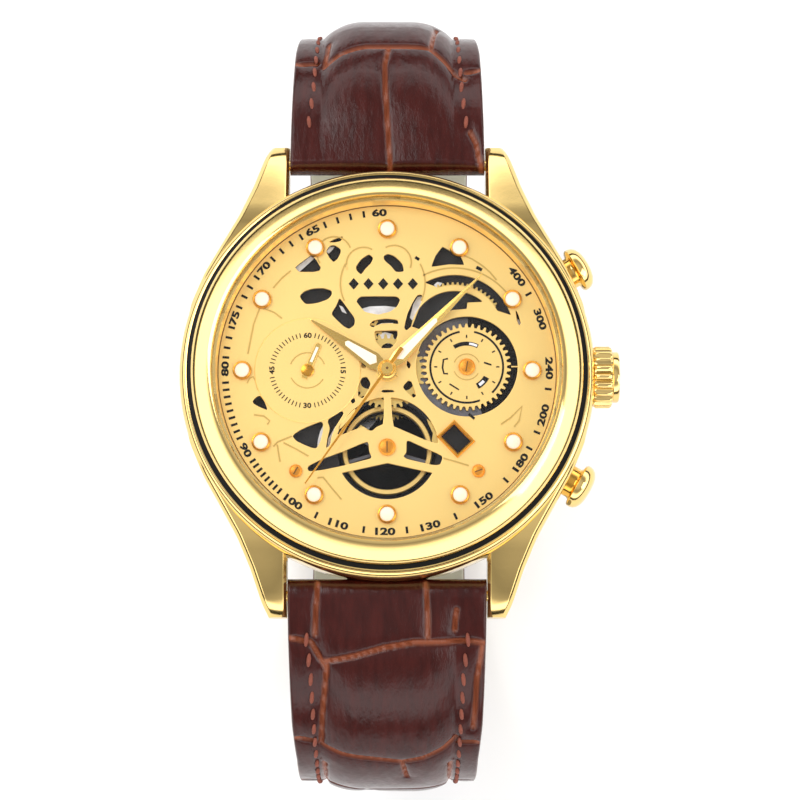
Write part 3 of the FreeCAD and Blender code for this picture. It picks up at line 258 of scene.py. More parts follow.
def lathe(name, profile, *materials, steps=160, closed=True, sharp=35):
    """A turned piece from (radius, height) points; closed joins the last point to the first."""
    count = len(profile)
    vertices = []
    for step in range(steps):
        angle = 2 * math.pi * step / steps
        vertices += [(r * math.cos(angle), r * math.sin(angle), z) for r, z in profile]
    faces = ring_faces(steps, count, loop=True, closed=closed, across=True)
    obj = new_piece(name, vertices, faces, *materials)
    merge_doubles(obj)
    return sharpen(obj, sharp)


def ring_faces(rings, count, loop=False, closed=True, across=False, start=0):
    """Quads between rings of vertices; loop joins the last to the first, across reverses their winding."""
    faces = []
    for ring in range(rings if loop else rings - 1):
        here, there = start + ring * count, start + (ring + 1) % rings * count
        for i in range(count if closed else count - 1):
            j = (i + 1) % count
            corners = (here + i, here + j, there + j, there + i)
            faces.append((corners[0], corners[3], corners[2], corners[1]) if across else corners)
    return faces


def merge_doubles(obj, distance=1e-7):
    """Joins vertices nearer than a distance, where one is given, and turns the faces outward."""
    shape = bmesh.new()
    shape.from_mesh(obj.data)
    if distance:
        bmesh.ops.remove_doubles(shape, verts=shape.verts, dist=distance)
    bmesh.ops.recalc_face_normals(shape, faces=shape.faces)
    shape.to_mesh(obj.data)
    shape.free()


def arc(centre, radius, start, end, steps=24):
    """Points along an arc; angles in degrees, anticlockwise from +X."""
    points = []
    for step in range(steps + 1):
        angle = math.radians(start + (end - start) * step / steps)
        points.append((centre[0] + radius * math.cos(angle), centre[1] + radius * math.sin(angle)))
    return points


def ring_outline(centre, radius, steps=96):
    return arc(centre, radius, 0, 360 * (steps - 1) / steps, steps - 1)


def arc_band(centre, inner, outer, start, end, steps=32):
    """The outline of a piece of a ring."""
    return arc(centre, outer, start, end, steps) + arc(centre, inner, end, start, steps)


def stroke(points, width):
    """The outline of a line of even width along points."""
    left, right = [], []
    for i, point in enumerate(points):
        before, after = points[max(i - 1, 0)], points[min(i + 1, len(points) - 1)]
        run, rise = after[0] - before[0], after[1] - before[1]
        length = math.hypot(run, rise)
        side = (-rise / length * width / 2, run / length * width / 2)
        left.append((point[0] + side[0], point[1] + side[1]))
        right.append((point[0] - side[0], point[1] - side[1]))
    return left + right[::-1]


def softened(corners, share=0.18, rounds=2):
    """A closed outline with its corners cut back and rounded."""
    for _ in range(rounds):
        cut = []
        for i, (x, y) in enumerate(corners):
            next_x, next_y = corners[(i + 1) % len(corners)]
            cut.append((x + (next_x - x) * share, y + (next_y - y) * share))
            cut.append((x + (next_x - x) * (1 - share), y + (next_y - y) * (1 - share)))
        corners = cut
        share = 0.27
    return corners


def clockwise(radius, degrees, centre=CENTRE):
    """The point at a radius and a clock angle."""
    angle = math.radians(degrees)
    return (centre[0] + radius * math.sin(angle), centre[1] + radius * math.cos(angle))


def evaluated_mesh(obj):
    """A new mesh of the object with its modifiers or curve worked out."""
    bpy.context.view_layer.update()
    return bpy.data.meshes.new_from_object(obj.evaluated_get(bpy.context.evaluated_depsgraph_get()))


def mesh_from_curve(holder, made_of):
    """The mesh of a curve or text object, which is then removed."""
    curve = holder.data
    scene.collection.objects.link(holder)
    mesh = evaluated_mesh(holder)
    bpy.data.objects.remove(holder)
    bpy.data.curves.remove(curve)
    mesh.materials.clear()
    mesh.materials.append(made_of)
    return mesh


def cut_plate(name, outlines, bottom, top, made_of, edge=0.03):
    """A flat plate between two levels, slightly rounded at its edges; outlines inside others are holes."""
    curve = bpy.data.curves.new(name, "CURVE")
    curve.dimensions = "2D"
    curve.fill_mode = "BOTH"
    curve.extrude = max((top - bottom) / 2 - edge, 0.0) * MM
    curve.bevel_depth = edge * MM
    curve.bevel_resolution = 1
    curve.offset = -edge * MM
    for outline in outlines:
        spline = curve.splines.new("POLY")
        spline.points.add(len(outline) - 1)
        for point, (x, y) in zip(spline.points, outline):
            point.co = (x * MM, y * MM, 0, 1)
        spline.use_cyclic_u = True
    holder = bpy.data.objects.new(name, curve)
    mesh = mesh_from_curve(holder, made_of)
    mesh.transform(Matrix.Translation((0, 0, (bottom + top) / 2 * MM)))
    mesh.name = name
    obj = bpy.data.objects.new(name, mesh)
    scene.collection.objects.link(obj)
    merge_doubles(obj, 2e-7)
    return obj


def printed(name, outlines, level, made_of, thickness=0.03):
    """Thin shapes laid on a surface, such as print or foil."""
    return cut_plate(name, outlines, level, level + thickness, made_of, 0.004)


def written(name, text, height, x, y, level, made_of, turn=0.0, bold=0.0, wide=1.0, thickness=0.03):
    """One short numeral as a thin mesh, centred on a point."""
    curve = bpy.data.curves.new(name, "FONT")
    curve.body = text
    curve.size = height * MM / 0.7
    curve.offset = bold * MM
    curve.extrude = thickness / 2 * MM
    curve.resolution_u = 3
    curve.align_x = "CENTER"
    curve.align_y = "CENTER"
    holder = bpy.data.objects.new(name, curve)
    mesh = mesh_from_curve(holder, made_of)
    low = Vector([min(v.co[i] for v in mesh.vertices) for i in range(3)])
    high = Vector([max(v.co[i] for v in mesh.vertices) for i in range(3)])
    middle = (low + high) / 2
    fit = Matrix.Rotation(math.radians(turn), 4, "Z") @ Matrix.Diagonal((wide, 1, 1, 1))
    mesh.transform(Matrix.Translation((x * MM, y * MM, level * MM)) @ fit @ Matrix.Translation(-middle))
    obj = bpy.data.objects.new(name, mesh)
    scene.collection.objects.link(obj)
    return obj


# ---- camera, light and floor ----

CAMERA_TARGET = (1.3, -3.47, 9.8)
CAMERA_TILT = 80
CAMERA_DISTANCE = 0.3
FLOOR_LEVEL = -44.8
FLOOR_REACH = 900
STUDIO_LEVELS = [
    (0.0, 0.04), (0.1, 0.07), (0.17, 0.5), (0.23, 2.5), (0.5, 2.5), (0.58, 1.4), (0.68, 0.6), (0.8, 0.36),
    (0.93, 0.66), (1.0, 0.77),
]


def make_camera():
    """A long lens looking down steeply from the 6 o'clock side."""
    target = Vector(CAMERA_TARGET) * MM
    tilt = math.radians(CAMERA_TILT)
    camera = bpy.data.objects.new("camera", bpy.data.cameras.new("camera"))
    camera.data.lens = 135
    camera.data.sensor_width = 36
    camera.data.clip_start = 0.01
    camera.location = target + Vector((0, -math.cos(tilt), math.sin(tilt))) * CAMERA_DISTANCE
    camera.rotation_euler = (target - camera.location).to_track_quat("-Z", "Y").to_euler()
    scene.collection.objects.link(camera)
    scene.camera = camera


def make_light():
    """Two soft lamps and a studio whose level changes with height; the camera itself sees it plain white."""
    world = bpy.data.worlds.new("studio")
    scene.world = world
    world.use_nodes = True
    nodes, links = world.node_tree.nodes, world.node_tree.links
    place = nodes.new("ShaderNodeTexCoord")
    split = nodes.new("ShaderNodeSeparateXYZ")
    ramp = nodes.new("ShaderNodeValToRGB")
    links.new(place.outputs["Generated"], split.inputs["Vector"])
    links.new(split.outputs["Z"], ramp.inputs["Fac"])
    sight = nodes.new("ShaderNodeLightPath")
    plain = nodes.new("ShaderNodeMix")
    plain.data_type = "RGBA"
    plain.inputs["B"].default_value = (1, 1, 1, 1)
    links.new(sight.outputs["Is Camera Ray"], plain.inputs["Factor"])
    links.new(ramp.outputs["Color"], plain.inputs["A"])
    links.new(plain.outputs["Result"], nodes["Background"].inputs["Color"])
    ramp.color_ramp.elements[0].position = STUDIO_LEVELS[0][0]
    ramp.color_ramp.elements[0].color = (STUDIO_LEVELS[0][1],) * 3 + (1,)
    ramp.color_ramp.elements[1].position = STUDIO_LEVELS[-1][0]
    ramp.color_ramp.elements[1].color = (STUDIO_LEVELS[-1][1],) * 3 + (1,)
    for position, level in STUDIO_LEVELS[1:-1]:
        ramp.color_ramp.elements.new(position).color = (level,) * 3 + (1,)
    for name, at, size, power in (("key", (-0.28, 0.2, 0.42), 0.3, 1.1),
                                  ("fill", (0.34, -0.12, 0.34), 0.26, 0.6)):
        lamp = bpy.data.lights.new(name, "AREA")
        lamp.size = size
        lamp.energy = power
        holder = bpy.data.objects.new(name, lamp)
        holder.location = at
        holder.rotation_euler = (-Vector(at)).to_track_quat("-Z", "Y").to_euler()
        scene.collection.objects.link(holder)
    scene.view_settings.view_transform = "Standard"


def make_floor():
    pale = material("pale_floor", (0.93, 0.93, 0.93, 1), roughness=0.8, variation=0.01, patch=0.2,
                    specular=0.1)
    corners = [(x * FLOOR_REACH, y * FLOOR_REACH, FLOOR_LEVEL) for x,
               y in ((-1, -1), (1, -1), (1, 1), (-1, 1))]
    new_piece("floor", corners, [(0, 1, 2, 3)], pale)


# ---- case ----

LUG_OUTER = [(4.1, 20.6), (7.3, 19.9), (10.4, 18.6), (13.6, 16.8), (16.5, 15.2), (19.8, 13.8), (23.1, 12.7),
             (24.5, 12.0)]
LUG_TOP = [(4, 6.65), (11, 6.65), (13.5, 6.5), (15.5, 6.2), (17, 5.85), (18.5, 5.35), (20, 4.85),
           (21.5, 4.3), (23, 3.7),
           (23.9, 3.1), (24.5, 2.3)]
LUG_UNDER = [(4, 1.2), (14, 1.0), (20, 0.5), (23.2, 0.4), (24.5, 0.8)]
LUG_INNER = 10.15
LUG_TIP = 24.5
BAND_REACH = 18.2


def between(table, at):
    """The value at a place, read from a table of (place, value) pairs."""
    for (a, low), (b, high) in zip(table, table[1:]):
        if at <= b:
            share = max((at - a) / (b - a), 0)
            return low + (high - low) * share
    return table[-1][1]


def lug(name, side_x, side_y):
    """One lug, lofted from the case band to its tip, with polished chamfers along its top."""
    stations = 34
    vertices = []
    for i in range(stations + 1):
        y = 4.1 + (LUG_TIP - 4.1) * i / stations
        inner = max(LUG_INNER, math.sqrt(max(BAND_REACH ** 2 - y ** 2, 0)))
        outer = between(LUG_OUTER, y)
        top, under = between(LUG_TOP, y), between(LUG_UNDER, y)
        fit = min(1.0, (outer - inner) / 2.6)
        chamfer = 0.4 * fit
        section = [
            (inner, under + 0.3), (inner + 0.3 * fit, under), (outer - 0.7 * fit, under),
            (outer, under + 0.8 * fit),
            (outer, top - 0.55 * fit), (outer - 0.06 * fit, top - 0.42 * fit),
            (outer - chamfer, top - 0.08 * fit),
            (outer - chamfer - 0.15 * fit, top), (inner + 0.45 * fit, top), (inner + 0.3 * fit, top - 0.06),
            (inner, top - 0.4),
        ]
        vertices += [(x * side_x, y * side_y, z) for x, z in section]
    count = len(section)
    faces = ring_faces(stations + 1, count)
    faces.append(tuple(range(count)))
    faces.append(tuple(stations * count + j for j in reversed(range(count))))
    obj = new_piece(name, vertices, faces, GOLD_CASE)
    merge_doubles(obj)
    return sharpen(obj, 24)


def make_case():
    band = lathe("case_band", [
        (17.5, 1.0), (19.4, 1.0), (20.1, 1.4), (20.65, 1.9), (20.95, 2.4), (21.1, 3.0), (21.1, 5.9),
        (21.02, 6.3),
        (20.85, 6.7), (20.6, 6.92), (20.45, 7.0), (17.5, 7.0),
    ], GOLD_CASE)
    lugs = [lug(f"lug_{x}_{y}", x, y) for x in (-1, 1) for y in (-1, 1)]
    belongs(joined("case_body", [band, *lugs]), "root", "gold_case", "case_middle")
    bezel = lathe("polished_bezel", [
        (17.6, 7.0), (20.45, 7.0), (20.47, 7.35), (20.4, 7.5), (20.28, 7.52), (20.28, 7.2), (19.85, 7.2),
        (19.85, 7.8),
        (19.82, 8.15), (19.73, 8.48), (19.52, 8.74), (19.2, 8.96), (18.75, 9.27), (18.38, 9.51),
        (18.08, 9.68),
        (17.82, 9.78), (17.66, 9.79), (17.6, 9.7), (17.6, 8.9), (17.3, 8.9), (17.3, 8.5), (17.6, 8.5),
    ], GOLD_CASE)
    belongs(bezel, "root", "gold_case", "bezel")
    # Painted dark reflection: a black ring in the bezel's groove.
    belongs(lathe("bezel_groove_painted_reflection", [(19.85, 7.2), (20.28, 7.2), (20.28, 7.44), (19.85, 7.5)], BLACK),
            "root",
            "gold_case")


def make_crown():
    flutes, per_flute = 20, 8
    steps = flutes * per_flute
    rings = [
        (0.0, 1.1, 0), (0.0, 2.7, 0), (0.12, 2.98, 0.08), (0.34, 3.15, 0.4), (1.7, 3.15, 0.4),
        (1.93, 2.98, 0.12),
        (2.05, 2.68, 0), (2.08, 2.6, 0), (2.5, 2.6, 0), (2.63, 2.54, 0), (2.7, 2.38, 0), (2.72, 2.0, 0),
        (2.7, 0.02, 0),
    ]
    vertices = []
    for z, radius, depth in rings:
        for step in range(steps):
            turn = 2 * math.pi * step / steps
            dip = abs(math.cos(math.pi * step / per_flute)) ** 3
            reach = radius - depth * dip
            vertices.append((reach * math.cos(turn), reach * math.sin(turn), z + 20.95))
    obj = new_piece("fluted_crown", vertices, ring_faces(len(rings), steps), GOLD_CASE)
    sharpen(obj, 40)
    belongs(facing(obj, 0, 3.4), "crown_and_stem", "gold_case", "crown")


def make_pushers():
    profile = [
        (0.001, 0), (0.7, 0), (0.7, 2.7), (1.55, 2.7), (1.6, 2.8), (1.6, 4.7), (1.72, 4.88), (2.15, 4.98),
        (2.3, 5.14),
        (2.3, 5.45), (2.22, 5.76), (2.0, 6.06), (1.6, 6.32), (1.1, 6.47), (0.5, 6.54), (0.001, 6.55),
    ]
    for name, angle, body, node in (("pusher_2", 30, "pusher_at_2", "start_pusher"),
                                    ("pusher_4", -30, "pusher_at_4", "reset_pusher")):
        obj = lathe(name, [(r, z + 17.2) for r, z in profile], GOLD_CASE, steps=72, closed=False)
        belongs(facing(obj, angle, 3.4), body, "gold_case", node)


# ---- dial ----

WINDOWS = {
    "top_sliver": [(-4.45, 13.96), (-4.72, 13.4), (-5.37, 13.27), (-6.02, 13.29), (-5.4, 13.6)],
    "drop": [
        (-6.24, 12.36), (-5.88, 12.94), (-5.37, 13.01), (-4.73, 12.59), (-4.74, 12.14), (-5.07, 11.52),
        (-5.45, 11.19),
        (-5.88, 11.66),
    ],
    "triangle": [(-9.43, 10.68), (-7.7, 12.02), (-7.19, 11.42), (-6.74, 10.65), (-6.88, 10.33),
                 (-7.48, 10.19), (-8.95, 10.2)],
    "round_slot": [
        (-8.89, 7.74), (-8.43, 8.2), (-7.59, 8.48), (-6.47, 8.54), (-5.62, 8.26), (-5.62, 7.8),
        (-6.02, 7.34),
        (-7.15, 6.94), (-8.27, 6.83), (-8.72, 7.34),
    ],
    "tear": [
        (-4.84, 7.58), (-4.06, 6.5), (-3.27, 5.4), (-3.29, 4.72), (-3.82, 4.27), (-4.36, 4.51),
        (-5.07, 5.18),
        (-5.62, 5.75), (-5.57, 6.1), (-5.19, 6.66),
    ],
    "petal_left": [
        (-1.85, 12.07), (-1.4, 11.67), (-1.63, 11.11), (-2.2, 10.55), (-2.64, 9.9), (-3.09, 10.3),
        (-3.21, 10.76),
        (-2.64, 11.56),
    ],
    "petal_right": [
        (-0.4, 11.86), (0.06, 12.1), (0.76, 11.86), (1.56, 11.05), (1.73, 10.22), (0.87, 10.17),
        (0.4, 10.81),
        (-0.29, 11.39),
    ],
    "smile": [(-3.17, 7.16), (-2.76, 7.68), (0.98, 7.68), (1.34, 7.31), (1.0, 6.6), (0.37, 6.1),
              (-0.9, 5.75), (-2.3, 6.05)],
    "arc_slot": [(-1.85, 4.7), (-1.45, 5.18), (-0.13, 5.38), (1.08, 5.23), (1.18, 4.78), (0.37, 4.88),
                 (-0.64, 4.83), (-1.45, 4.42)],
    "wheel_eye": [(-1.35, 4.1), (1.1, 4.15), (0.98, 2.96), (0.37, 2.3), (-0.54, 2.3), (-1.14, 2.96)],
    "lever": [(3.05, 7.82), (3.5, 7.86), (3.62, 7.45), (3.1, 6.2), (2.5, 4.6), (1.95, 4.1), (1.7, 4.4),
              (2.05, 5.9), (2.6, 7.1)],
    "top_window": [(4.45, 10.7), (4.9, 11.9), (5.61, 12.86), (6.6, 12.3), (7.47, 11.86), (7.87, 10.92),
                   (6.31, 10.99)],
    "slit_right": [(13.0, 6.35), (13.3, 5.8), (13.56, 4.91), (13.42, 4.6), (13.15, 5.1)],
    "black_drop": [(-13.61, -3.15), (-13.2, -2.7), (-12.8, -2.55), (-12.39, -3.15), (-12.0, -4.1),
                   (-12.73, -3.8), (-13.41, -3.45)],
    "dark_triangle": [(-9.58, -6.67), (-8.7, -6.03), (-6.47, -5.1), (-6.44, -6.15), (-6.73, -7.32),
                      (-7.1, -7.97), (-7.6, -7.91), (-9.1, -7.25)],
    "slanted": [
        (-6.07, -5.05), (-4.55, -4.08), (-4.35, -4.4), (-4.85, -5.2), (-5.3, -5.95), (-5.6, -6.8),
        (-5.72, -7.62),
        (-6.16, -8.0), (-6.02, -6.95), (-5.75, -5.86),
    ],
    "slit_left": [(-3.11, -3.75), (-3.4, -4.5), (-4.74, -6.0), (-4.98, -5.85), (-4.33, -4.98)],
    "left_cell": [(-2.96, -2.63), (-2.9, -1.5), (-2.55, -0.71), (-2.02, -0.62), (-1.6, -1.4), (-2.4, -2.91)],
    "upper_cell": [(-2.57, 1.12), (-2.05, 0.85), (-2.16, 0.2), (-2.63, 0.3)],
    "small_cell": [(-3.72, -3.02), (-3.3, -2.78), (-3.18, -3.22), (-3.52, -3.42)],
    "bar_slot": [(-0.64, -2.1), (-0.37, -1.96), (0.58, -1.98), (0.81, -2.2), (-0.37, -2.27)],
    "right_sliver": [(2.01, 1.12), (2.42, 0.64), (2.24, 0.13), (1.95, 0.51)],
    "right_cell": [(1.5, -1.69), (2.1, -1.0), (2.45, -1.1), (2.72, -1.9), (2.94, -2.6), (2.62, -2.85)],
    "eye_left": [
        (-1.87, -7.15), (-4.24, -8.2), (-5.86, -8.79), (-6.62, -9.08), (-7.89, -9.73), (-8.0, -10.02),
        (-7.83, -10.31),
        (-7.19, -10.25), (-6.38, -10.14), (-4.42, -9.73), (-2.22, -9.14), (-1.66, -9.0), (-1.55, -8.8),
        (-1.81, -8.26),
    ],
    "eye_right": [
        (1.95, -7.21), (2.18, -7.15), (3.91, -7.97), (5.65, -8.73), (5.36, -9.64), (4.61, -9.67),
        (1.9, -9.02),
        (1.62, -8.73), (1.95, -8.38),
    ],
}
CORNERED = {"smile": 0.1, "top_window": 0.08, "wheel_eye": 0.08, "triangle": 0.08}
RELIEF = [
    [(-11.42, -7.77), (-11.0, -7.31), (-9.58, -6.72)],
    [(-11.04, -7.6), (-10.91, -8.41), (-10.75, -9.34)],
    [(-10.41, -7.39), (-9.08, -8.07), (-7.91, -8.75)],
    [(-6.99, -10.95), (-6.4, -10.91), (-5.57, -11.96), (-4.56, -13.15)],
    [(-11.57, 8.52), (-10.72, 9.51), (-9.8, 10.31)],
    [(-12.91, 6.48), (-13.53, 4.74), (-14.08, 1.71)],
    [(-12.67, 6.48), (-11.45, 5.98), (-10.65, 5.36)],
    [(-14.14, -1.32), (-13.89, -0.82), (-13.53, -0.64), (-13.22, -1.2), (-13.04, -1.94)],
    [(-13.4, -4.54), (-12.43, -4.66), (-11.81, -5.16), (-12.06, -5.53)],
    [(7.77, 11.92), (8.69, 11.49), (9.75, 10.77), (10.46, 10.13), (11.1, 9.34)],
    [(11.46, -5.52), (12.44, -4.84), (13.6, -3.67), (13.29, -5.15), (12.8, -5.77)],
    [(5.65, -8.96), (6.92, -9.32), (8.2, -9.73)],
    arc(BARREL, 6.75, 30, 118, 28),
    arc((-0.45, 9.0), 4.3, 152, 205, 16),
    arc((-0.45, 9.0), 4.3, -25, 28, 16),
    arc((-2.4, 11.0), 1.75, 60, 200, 16),
    arc((0.7, 11.2), 1.75, -20, 120, 16),
    arc((-5.4, 12.1), 1.75, 20, 215, 20),
]
PRINTED_TICKS = (
    [274.7, 278.2, 281.9, 285.7, 293.5, 297.7, 301.7, 305.9, 314.7, 319.0, 323.3, 327.6, 337.2, 342.0,
     346.8, 351.6]
    + [265.6 - 2.57 * i for i in range(9)]
    + [235.6 - 2.05 * i for i in range(8)]
    + [205.7, 188.2, 173.0, 155.2, 133.2, 119.1, 112.8, 96.7, 61.2]
)
PRINTED_NUMERALS = [
    ("60", 357.2), ("65", 332.3), ("70", 310.2), ("75", 289.2), ("80", 270.6), ("90", 240.2), ("100", 215.0),
    ("110", 197.3), ("120", 180.6), ("130", 164.6), ("150", 143.6), ("180", 125.0), ("200", 106.2),
    ("240", 89.2),
    ("300", 71.2), ("400", 53.6),
]


def make_dial():
    holes = [softened(WINDOWS[name], CORNERED.get(name, 0.16)) for name in sorted(WINDOWS)]
    plate = [ring_outline(CENTRE, 17.3, 180), ring_outline(DISPLAY, 5.15)] + holes
    plate += balance_windows()
    dial = cut_plate("skeleton_dial", plate + [barrel_eye(), crescent(), date_hole()], 6.9, DIAL_TOP,
                     GOLD_DIAL, 0.04)
    belongs(dial, "root", "gold_dial", "dial_plate")
    # The relief lines are a darker gold, painted shade along their raised edges.
    lines = [stroke(points, 0.15) for points in RELIEF]
    belongs(printed("dial_relief", lines, DIAL_TOP, GOLD_RELIEF_SHADED, 0.05), "root", "gold_dial")
    slope = lathe("dial_rim", [(17.12, 7.3), (17.16, 7.42), (17.55, 8.45), (17.28, 8.45), (17.28, 8.8),
                               (17.58, 8.86),
                               (17.58, 7.3)], GOLD_DIAL)
    # Painted shade: a dark line in the crevice where the dial meets its rim.
    foot = lathe("dial_rim_foot", [(17.04, 7.3), (17.14, 7.3), (17.14, 7.36), (17.04, 7.34)], SHADED_GOLD_LINE)
    belongs(joined("dial_rim", [slope, foot]), "root", "gold_dial", "tachymeter_ring")


def balance_windows():
    """The openings around the balance: two above the bridge and one below it."""
    upper_left = arc(BALANCE, 5.2, 93.8, 164, 20) + [(-4.6, -6.6), (-3.4, -6.1), (-2.9, -5.9)]
    upper_left += [(-2.35, -5.75), (-1.87, -6.15), (-1.47, -6.15), (-1.06, -5.78), (-0.42, -5.5),
                   (-0.33, -4.6)]
    upper_right = [(0.5, -4.6), (0.67, -5.71), (2.2, -6.38), (3.8, -7.09), (4.9, -7.42)]
    upper_right += arc(BALANCE, 5.2, 6, 86, 20)
    lower = [(-4.48, -10.43), (-3.61, -10.25), (0.04, -9.45), (4.48, -10.43)] + arc(BALANCE, 5.2, -29, -151,
                                                                                    40)
    return [upper_left, upper_right, lower]


def barrel_eye():
    upper = arc(BARREL, 4.38, 171, 50, 30)
    return softened(upper + [(9.6, 7.08), (8.12, 7.02), (8.08, 6.36), (6.57, 6.24), (5.4, 5.6),
                             (4.47, 4.56), (3.9, 4.05)], 0.06)


def crescent():
    outer = arc(BARREL, 6.05, 120, 18, 40)
    inner = arc(BARREL, 4.95, 28, 108, 30)
    return softened(outer + inner + [(5.1, 8.55), (4.72, 8.75)], 0.08)


def date_hole():
    return turned_box(DATE_AT, 2.5, 1.85, DATE_TURN)


def turned_box(middle, length, width, turn):
    angle = math.radians(turn)
    points = []
    for side_x, side_y in ((-1, -1), (1, -1), (1, 1), (-1, 1)):
        x, y = side_x * length / 2, side_y * width / 2
        points.append((middle[0] + x * math.cos(angle) - y * math.sin(angle),
                       middle[1] + x * math.sin(angle) + y * math.cos(angle)))
    return points


def make_print():
    """The black print around the dial's edge: a speed scale's numerals and ticks."""
    ticks = []
    for angle in PRINTED_TICKS:
        ticks.append(stroke([clockwise(16.02, angle), clockwise(16.7, angle)], 0.24))
    pieces = [printed("scale_ticks", ticks, DIAL_TOP, BLACK)]
    for text, angle in PRINTED_NUMERALS:
        x, y = clockwise(16.38, angle)
        turn = 180 - angle if 90 < angle < 265 else -angle
        pieces.append(written(f"scale_{text}", text, 0.68, x, y, DIAL_TOP + 0.015, BLACK, turn, 0.04, 1.55))
    belongs(joined("dial_print", pieces), "root", "gold_dial")


def make_plots():
    rims, faces = [], []
    for hour in range(12):
        x, y = clockwise(14.65, 30 * hour)
        rim = lathe(f"plot_rim_{hour}", [(0.72, 7.3), (0.95, 7.3), (0.95, 7.6), (0.9, 7.68), (0.8, 7.72),
                                         (0.74, 7.66),
                                         (0.72, 7.5)], GOLD_DEEP, steps=40)
        face = lathe(f"plot_face_{hour}", [(0.001, 7.3), (0.74, 7.3), (0.74, 7.58), (0.6, 7.63),
                                           (0.001, 7.66)], LUME,
                     steps=32, closed=False)
        rims.append(moved(rim, x, y))
        faces.append(moved(face, x, y))
    belongs(joined("hour_plot_rims", rims), "root", "gold_hands", "hour_plots")
    belongs(joined("hour_plot_lume", faces), "root", "gold_hands")


# ---- what shows through the dial ----

# Painted highlights: near-white shapes in the dial's windows where the movement's steel catches the light.
PAINTED_HIGHLIGHT_PATCHES = [
    [(-6.2, 12.45), (-5.88, 12.92), (-5.37, 12.98), (-5.55, 12.7), (-5.95, 12.25)],
    [(-9.39, 10.76), (-7.79, 11.97), (-7.45, 11.75), (-8.95, 10.33)],
    [(-2.75, 6.45), (-1.8, 6.75), (-0.2, 6.8), (1.05, 6.65), (0.4, 6.15), (-0.9, 5.8), (-2.3, 6.08)],
    [(3.1, 7.75), (3.5, 7.8), (3.6, 7.4), (3.0, 6.1), (2.55, 5.3), (2.3, 5.6), (2.65, 7.0)],
    [(-6.07, -7.9), (-5.93, -6.87), (-5.25, -5.65), (-4.9, -5.4), (-5.38, -7.2), (-5.66, -7.65)],
    [(-6.45, -5.5), (-6.46, -6.2), (-6.75, -7.32), (-7.05, -7.9), (-6.98, -7.0), (-6.75, -6.1)],
    [(13.22, 5.5), (13.42, 5.3), (13.56, 4.91), (13.42, 4.65), (13.2, 5.0)],
    [(-0.9, 3.9), (-0.2, 4.1), (0.5, 3.9), (0.75, 3.3), (0.2, 2.9), (-0.6, 3.0)],
    [(-1.5, 4.6), (-0.6, 5.0), (0.6, 5.05), (0.6, 4.85), (-0.6, 4.8), (-1.3, 4.45)],
    [(4.75, 9.0), (5.1, 9.3), (5.6, 9.2), (5.3, 8.75), (4.95, 8.7)],
    [(-4.9, 6.9), (-4.5, 6.7), (-4.1, 6.0), (-4.6, 6.2)],
]
GOLD_PATCHES = [
    [(4.0, -4.8), (4.7, -5.4), (5.3, -6.5), (5.5, -7.6), (4.9, -7.5), (4.5, -7.1), (4.62, -6.3),
     (4.2, -5.4)],
    [(-3.7, -7.1), (-3.3, -6.2), (-2.68, -5.45), (-1.6, -6.1), (-2.4, -6.7)],
    [(-5.1, -8.0), (-4.9, -6.4), (-3.9, -4.7), (-3.5, -4.6), (-4.6, -6.6), (-4.75, -8.0)],
]


def toothed(centre, root, tip, teeth, start=0.0, end=360.0):
    """The outer outline of a gear, or of a part of one, as points."""
    points = []
    pitch = 360 / teeth
    for tooth in range(round((end - start) / pitch)):
        for share, radius in ((0.0, root), (0.22, root), (0.4, tip), (0.66, tip), (0.84, root)):
            angle = math.radians(start + (tooth + share) * pitch)
            points.append((centre[0] + radius * math.cos(angle), centre[1] + radius * math.sin(angle)))
    return points


def make_depths():
    """A dark backing disc and a dark sheet below the dial as painted shade, painted highlights of the
    movement's steel and glimpses of its gold wheels.
    """
    # Painted shade: a dark disc over the case back, seen through the dial's openings.
    back = lathe("movement_shade", [(0.001, 0.82), (16.3, 0.82), (16.3, 0.9), (0.001, 0.9)], DARK_PLATE_AND_SHADE,
                 closed=False)
    belongs(back, "root", "dark_plate")
    # Painted shade: a dark sheet just under the dial darkens its windows; it is open at the balance and the
    # display.
    veil = [ring_outline(CENTRE, 17.2, 120), ring_outline(BALANCE, 5.0), ring_outline(DISPLAY, 5.0)]
    belongs(cut_plate("window_shade", veil, 6.28, 6.36, DARK_PLATE_AND_SHADE), "root", "dark_plate")
    # Painted highlights on the movement, seen through the windows.
    belongs(printed("painted_highlight_glimpses", PAINTED_HIGHLIGHT_PATCHES, 6.5, WHITE_HIGHLIGHT, 0.12), "root", "steel")
    belongs(printed("gold_glimpses", GOLD_PATCHES, 6.42, GOLD_WHEEL, 0.12), "root", "brass_wheels")
    rack = toothed(BARREL, 5.15, 5.42, 66, 34, 112) + arc(BARREL, 4.7, 112, 34, 30)
    belongs(cut_plate("barrel_teeth", [rack], 6.5, 6.7, GOLD_WHEEL), "root", "brass_wheels")


def make_balance():
    rim = lathe("balance_rim", [(4.04, 5.5), (4.54, 5.5), (4.58, 5.6), (4.56, 5.95), (4.48, 6.05),
                                (4.1, 6.05), (4.03, 5.95)],
                GOLD_DIAL, steps=120)
    arms = cut_plate("balance_arms", [stroke([(0, 0), clockwise(4.2, angle)], 0.36) for angle in (0, 107,
                                                                                                  253)],
                                                                                                  5.55,
                                                                                                  5.75,
                                                                                                  STEEL_DARK)
    belongs(moved(joined("balance", [rim, arms]), *BALANCE), "balance", "brass_wheels", "balance_wheel")


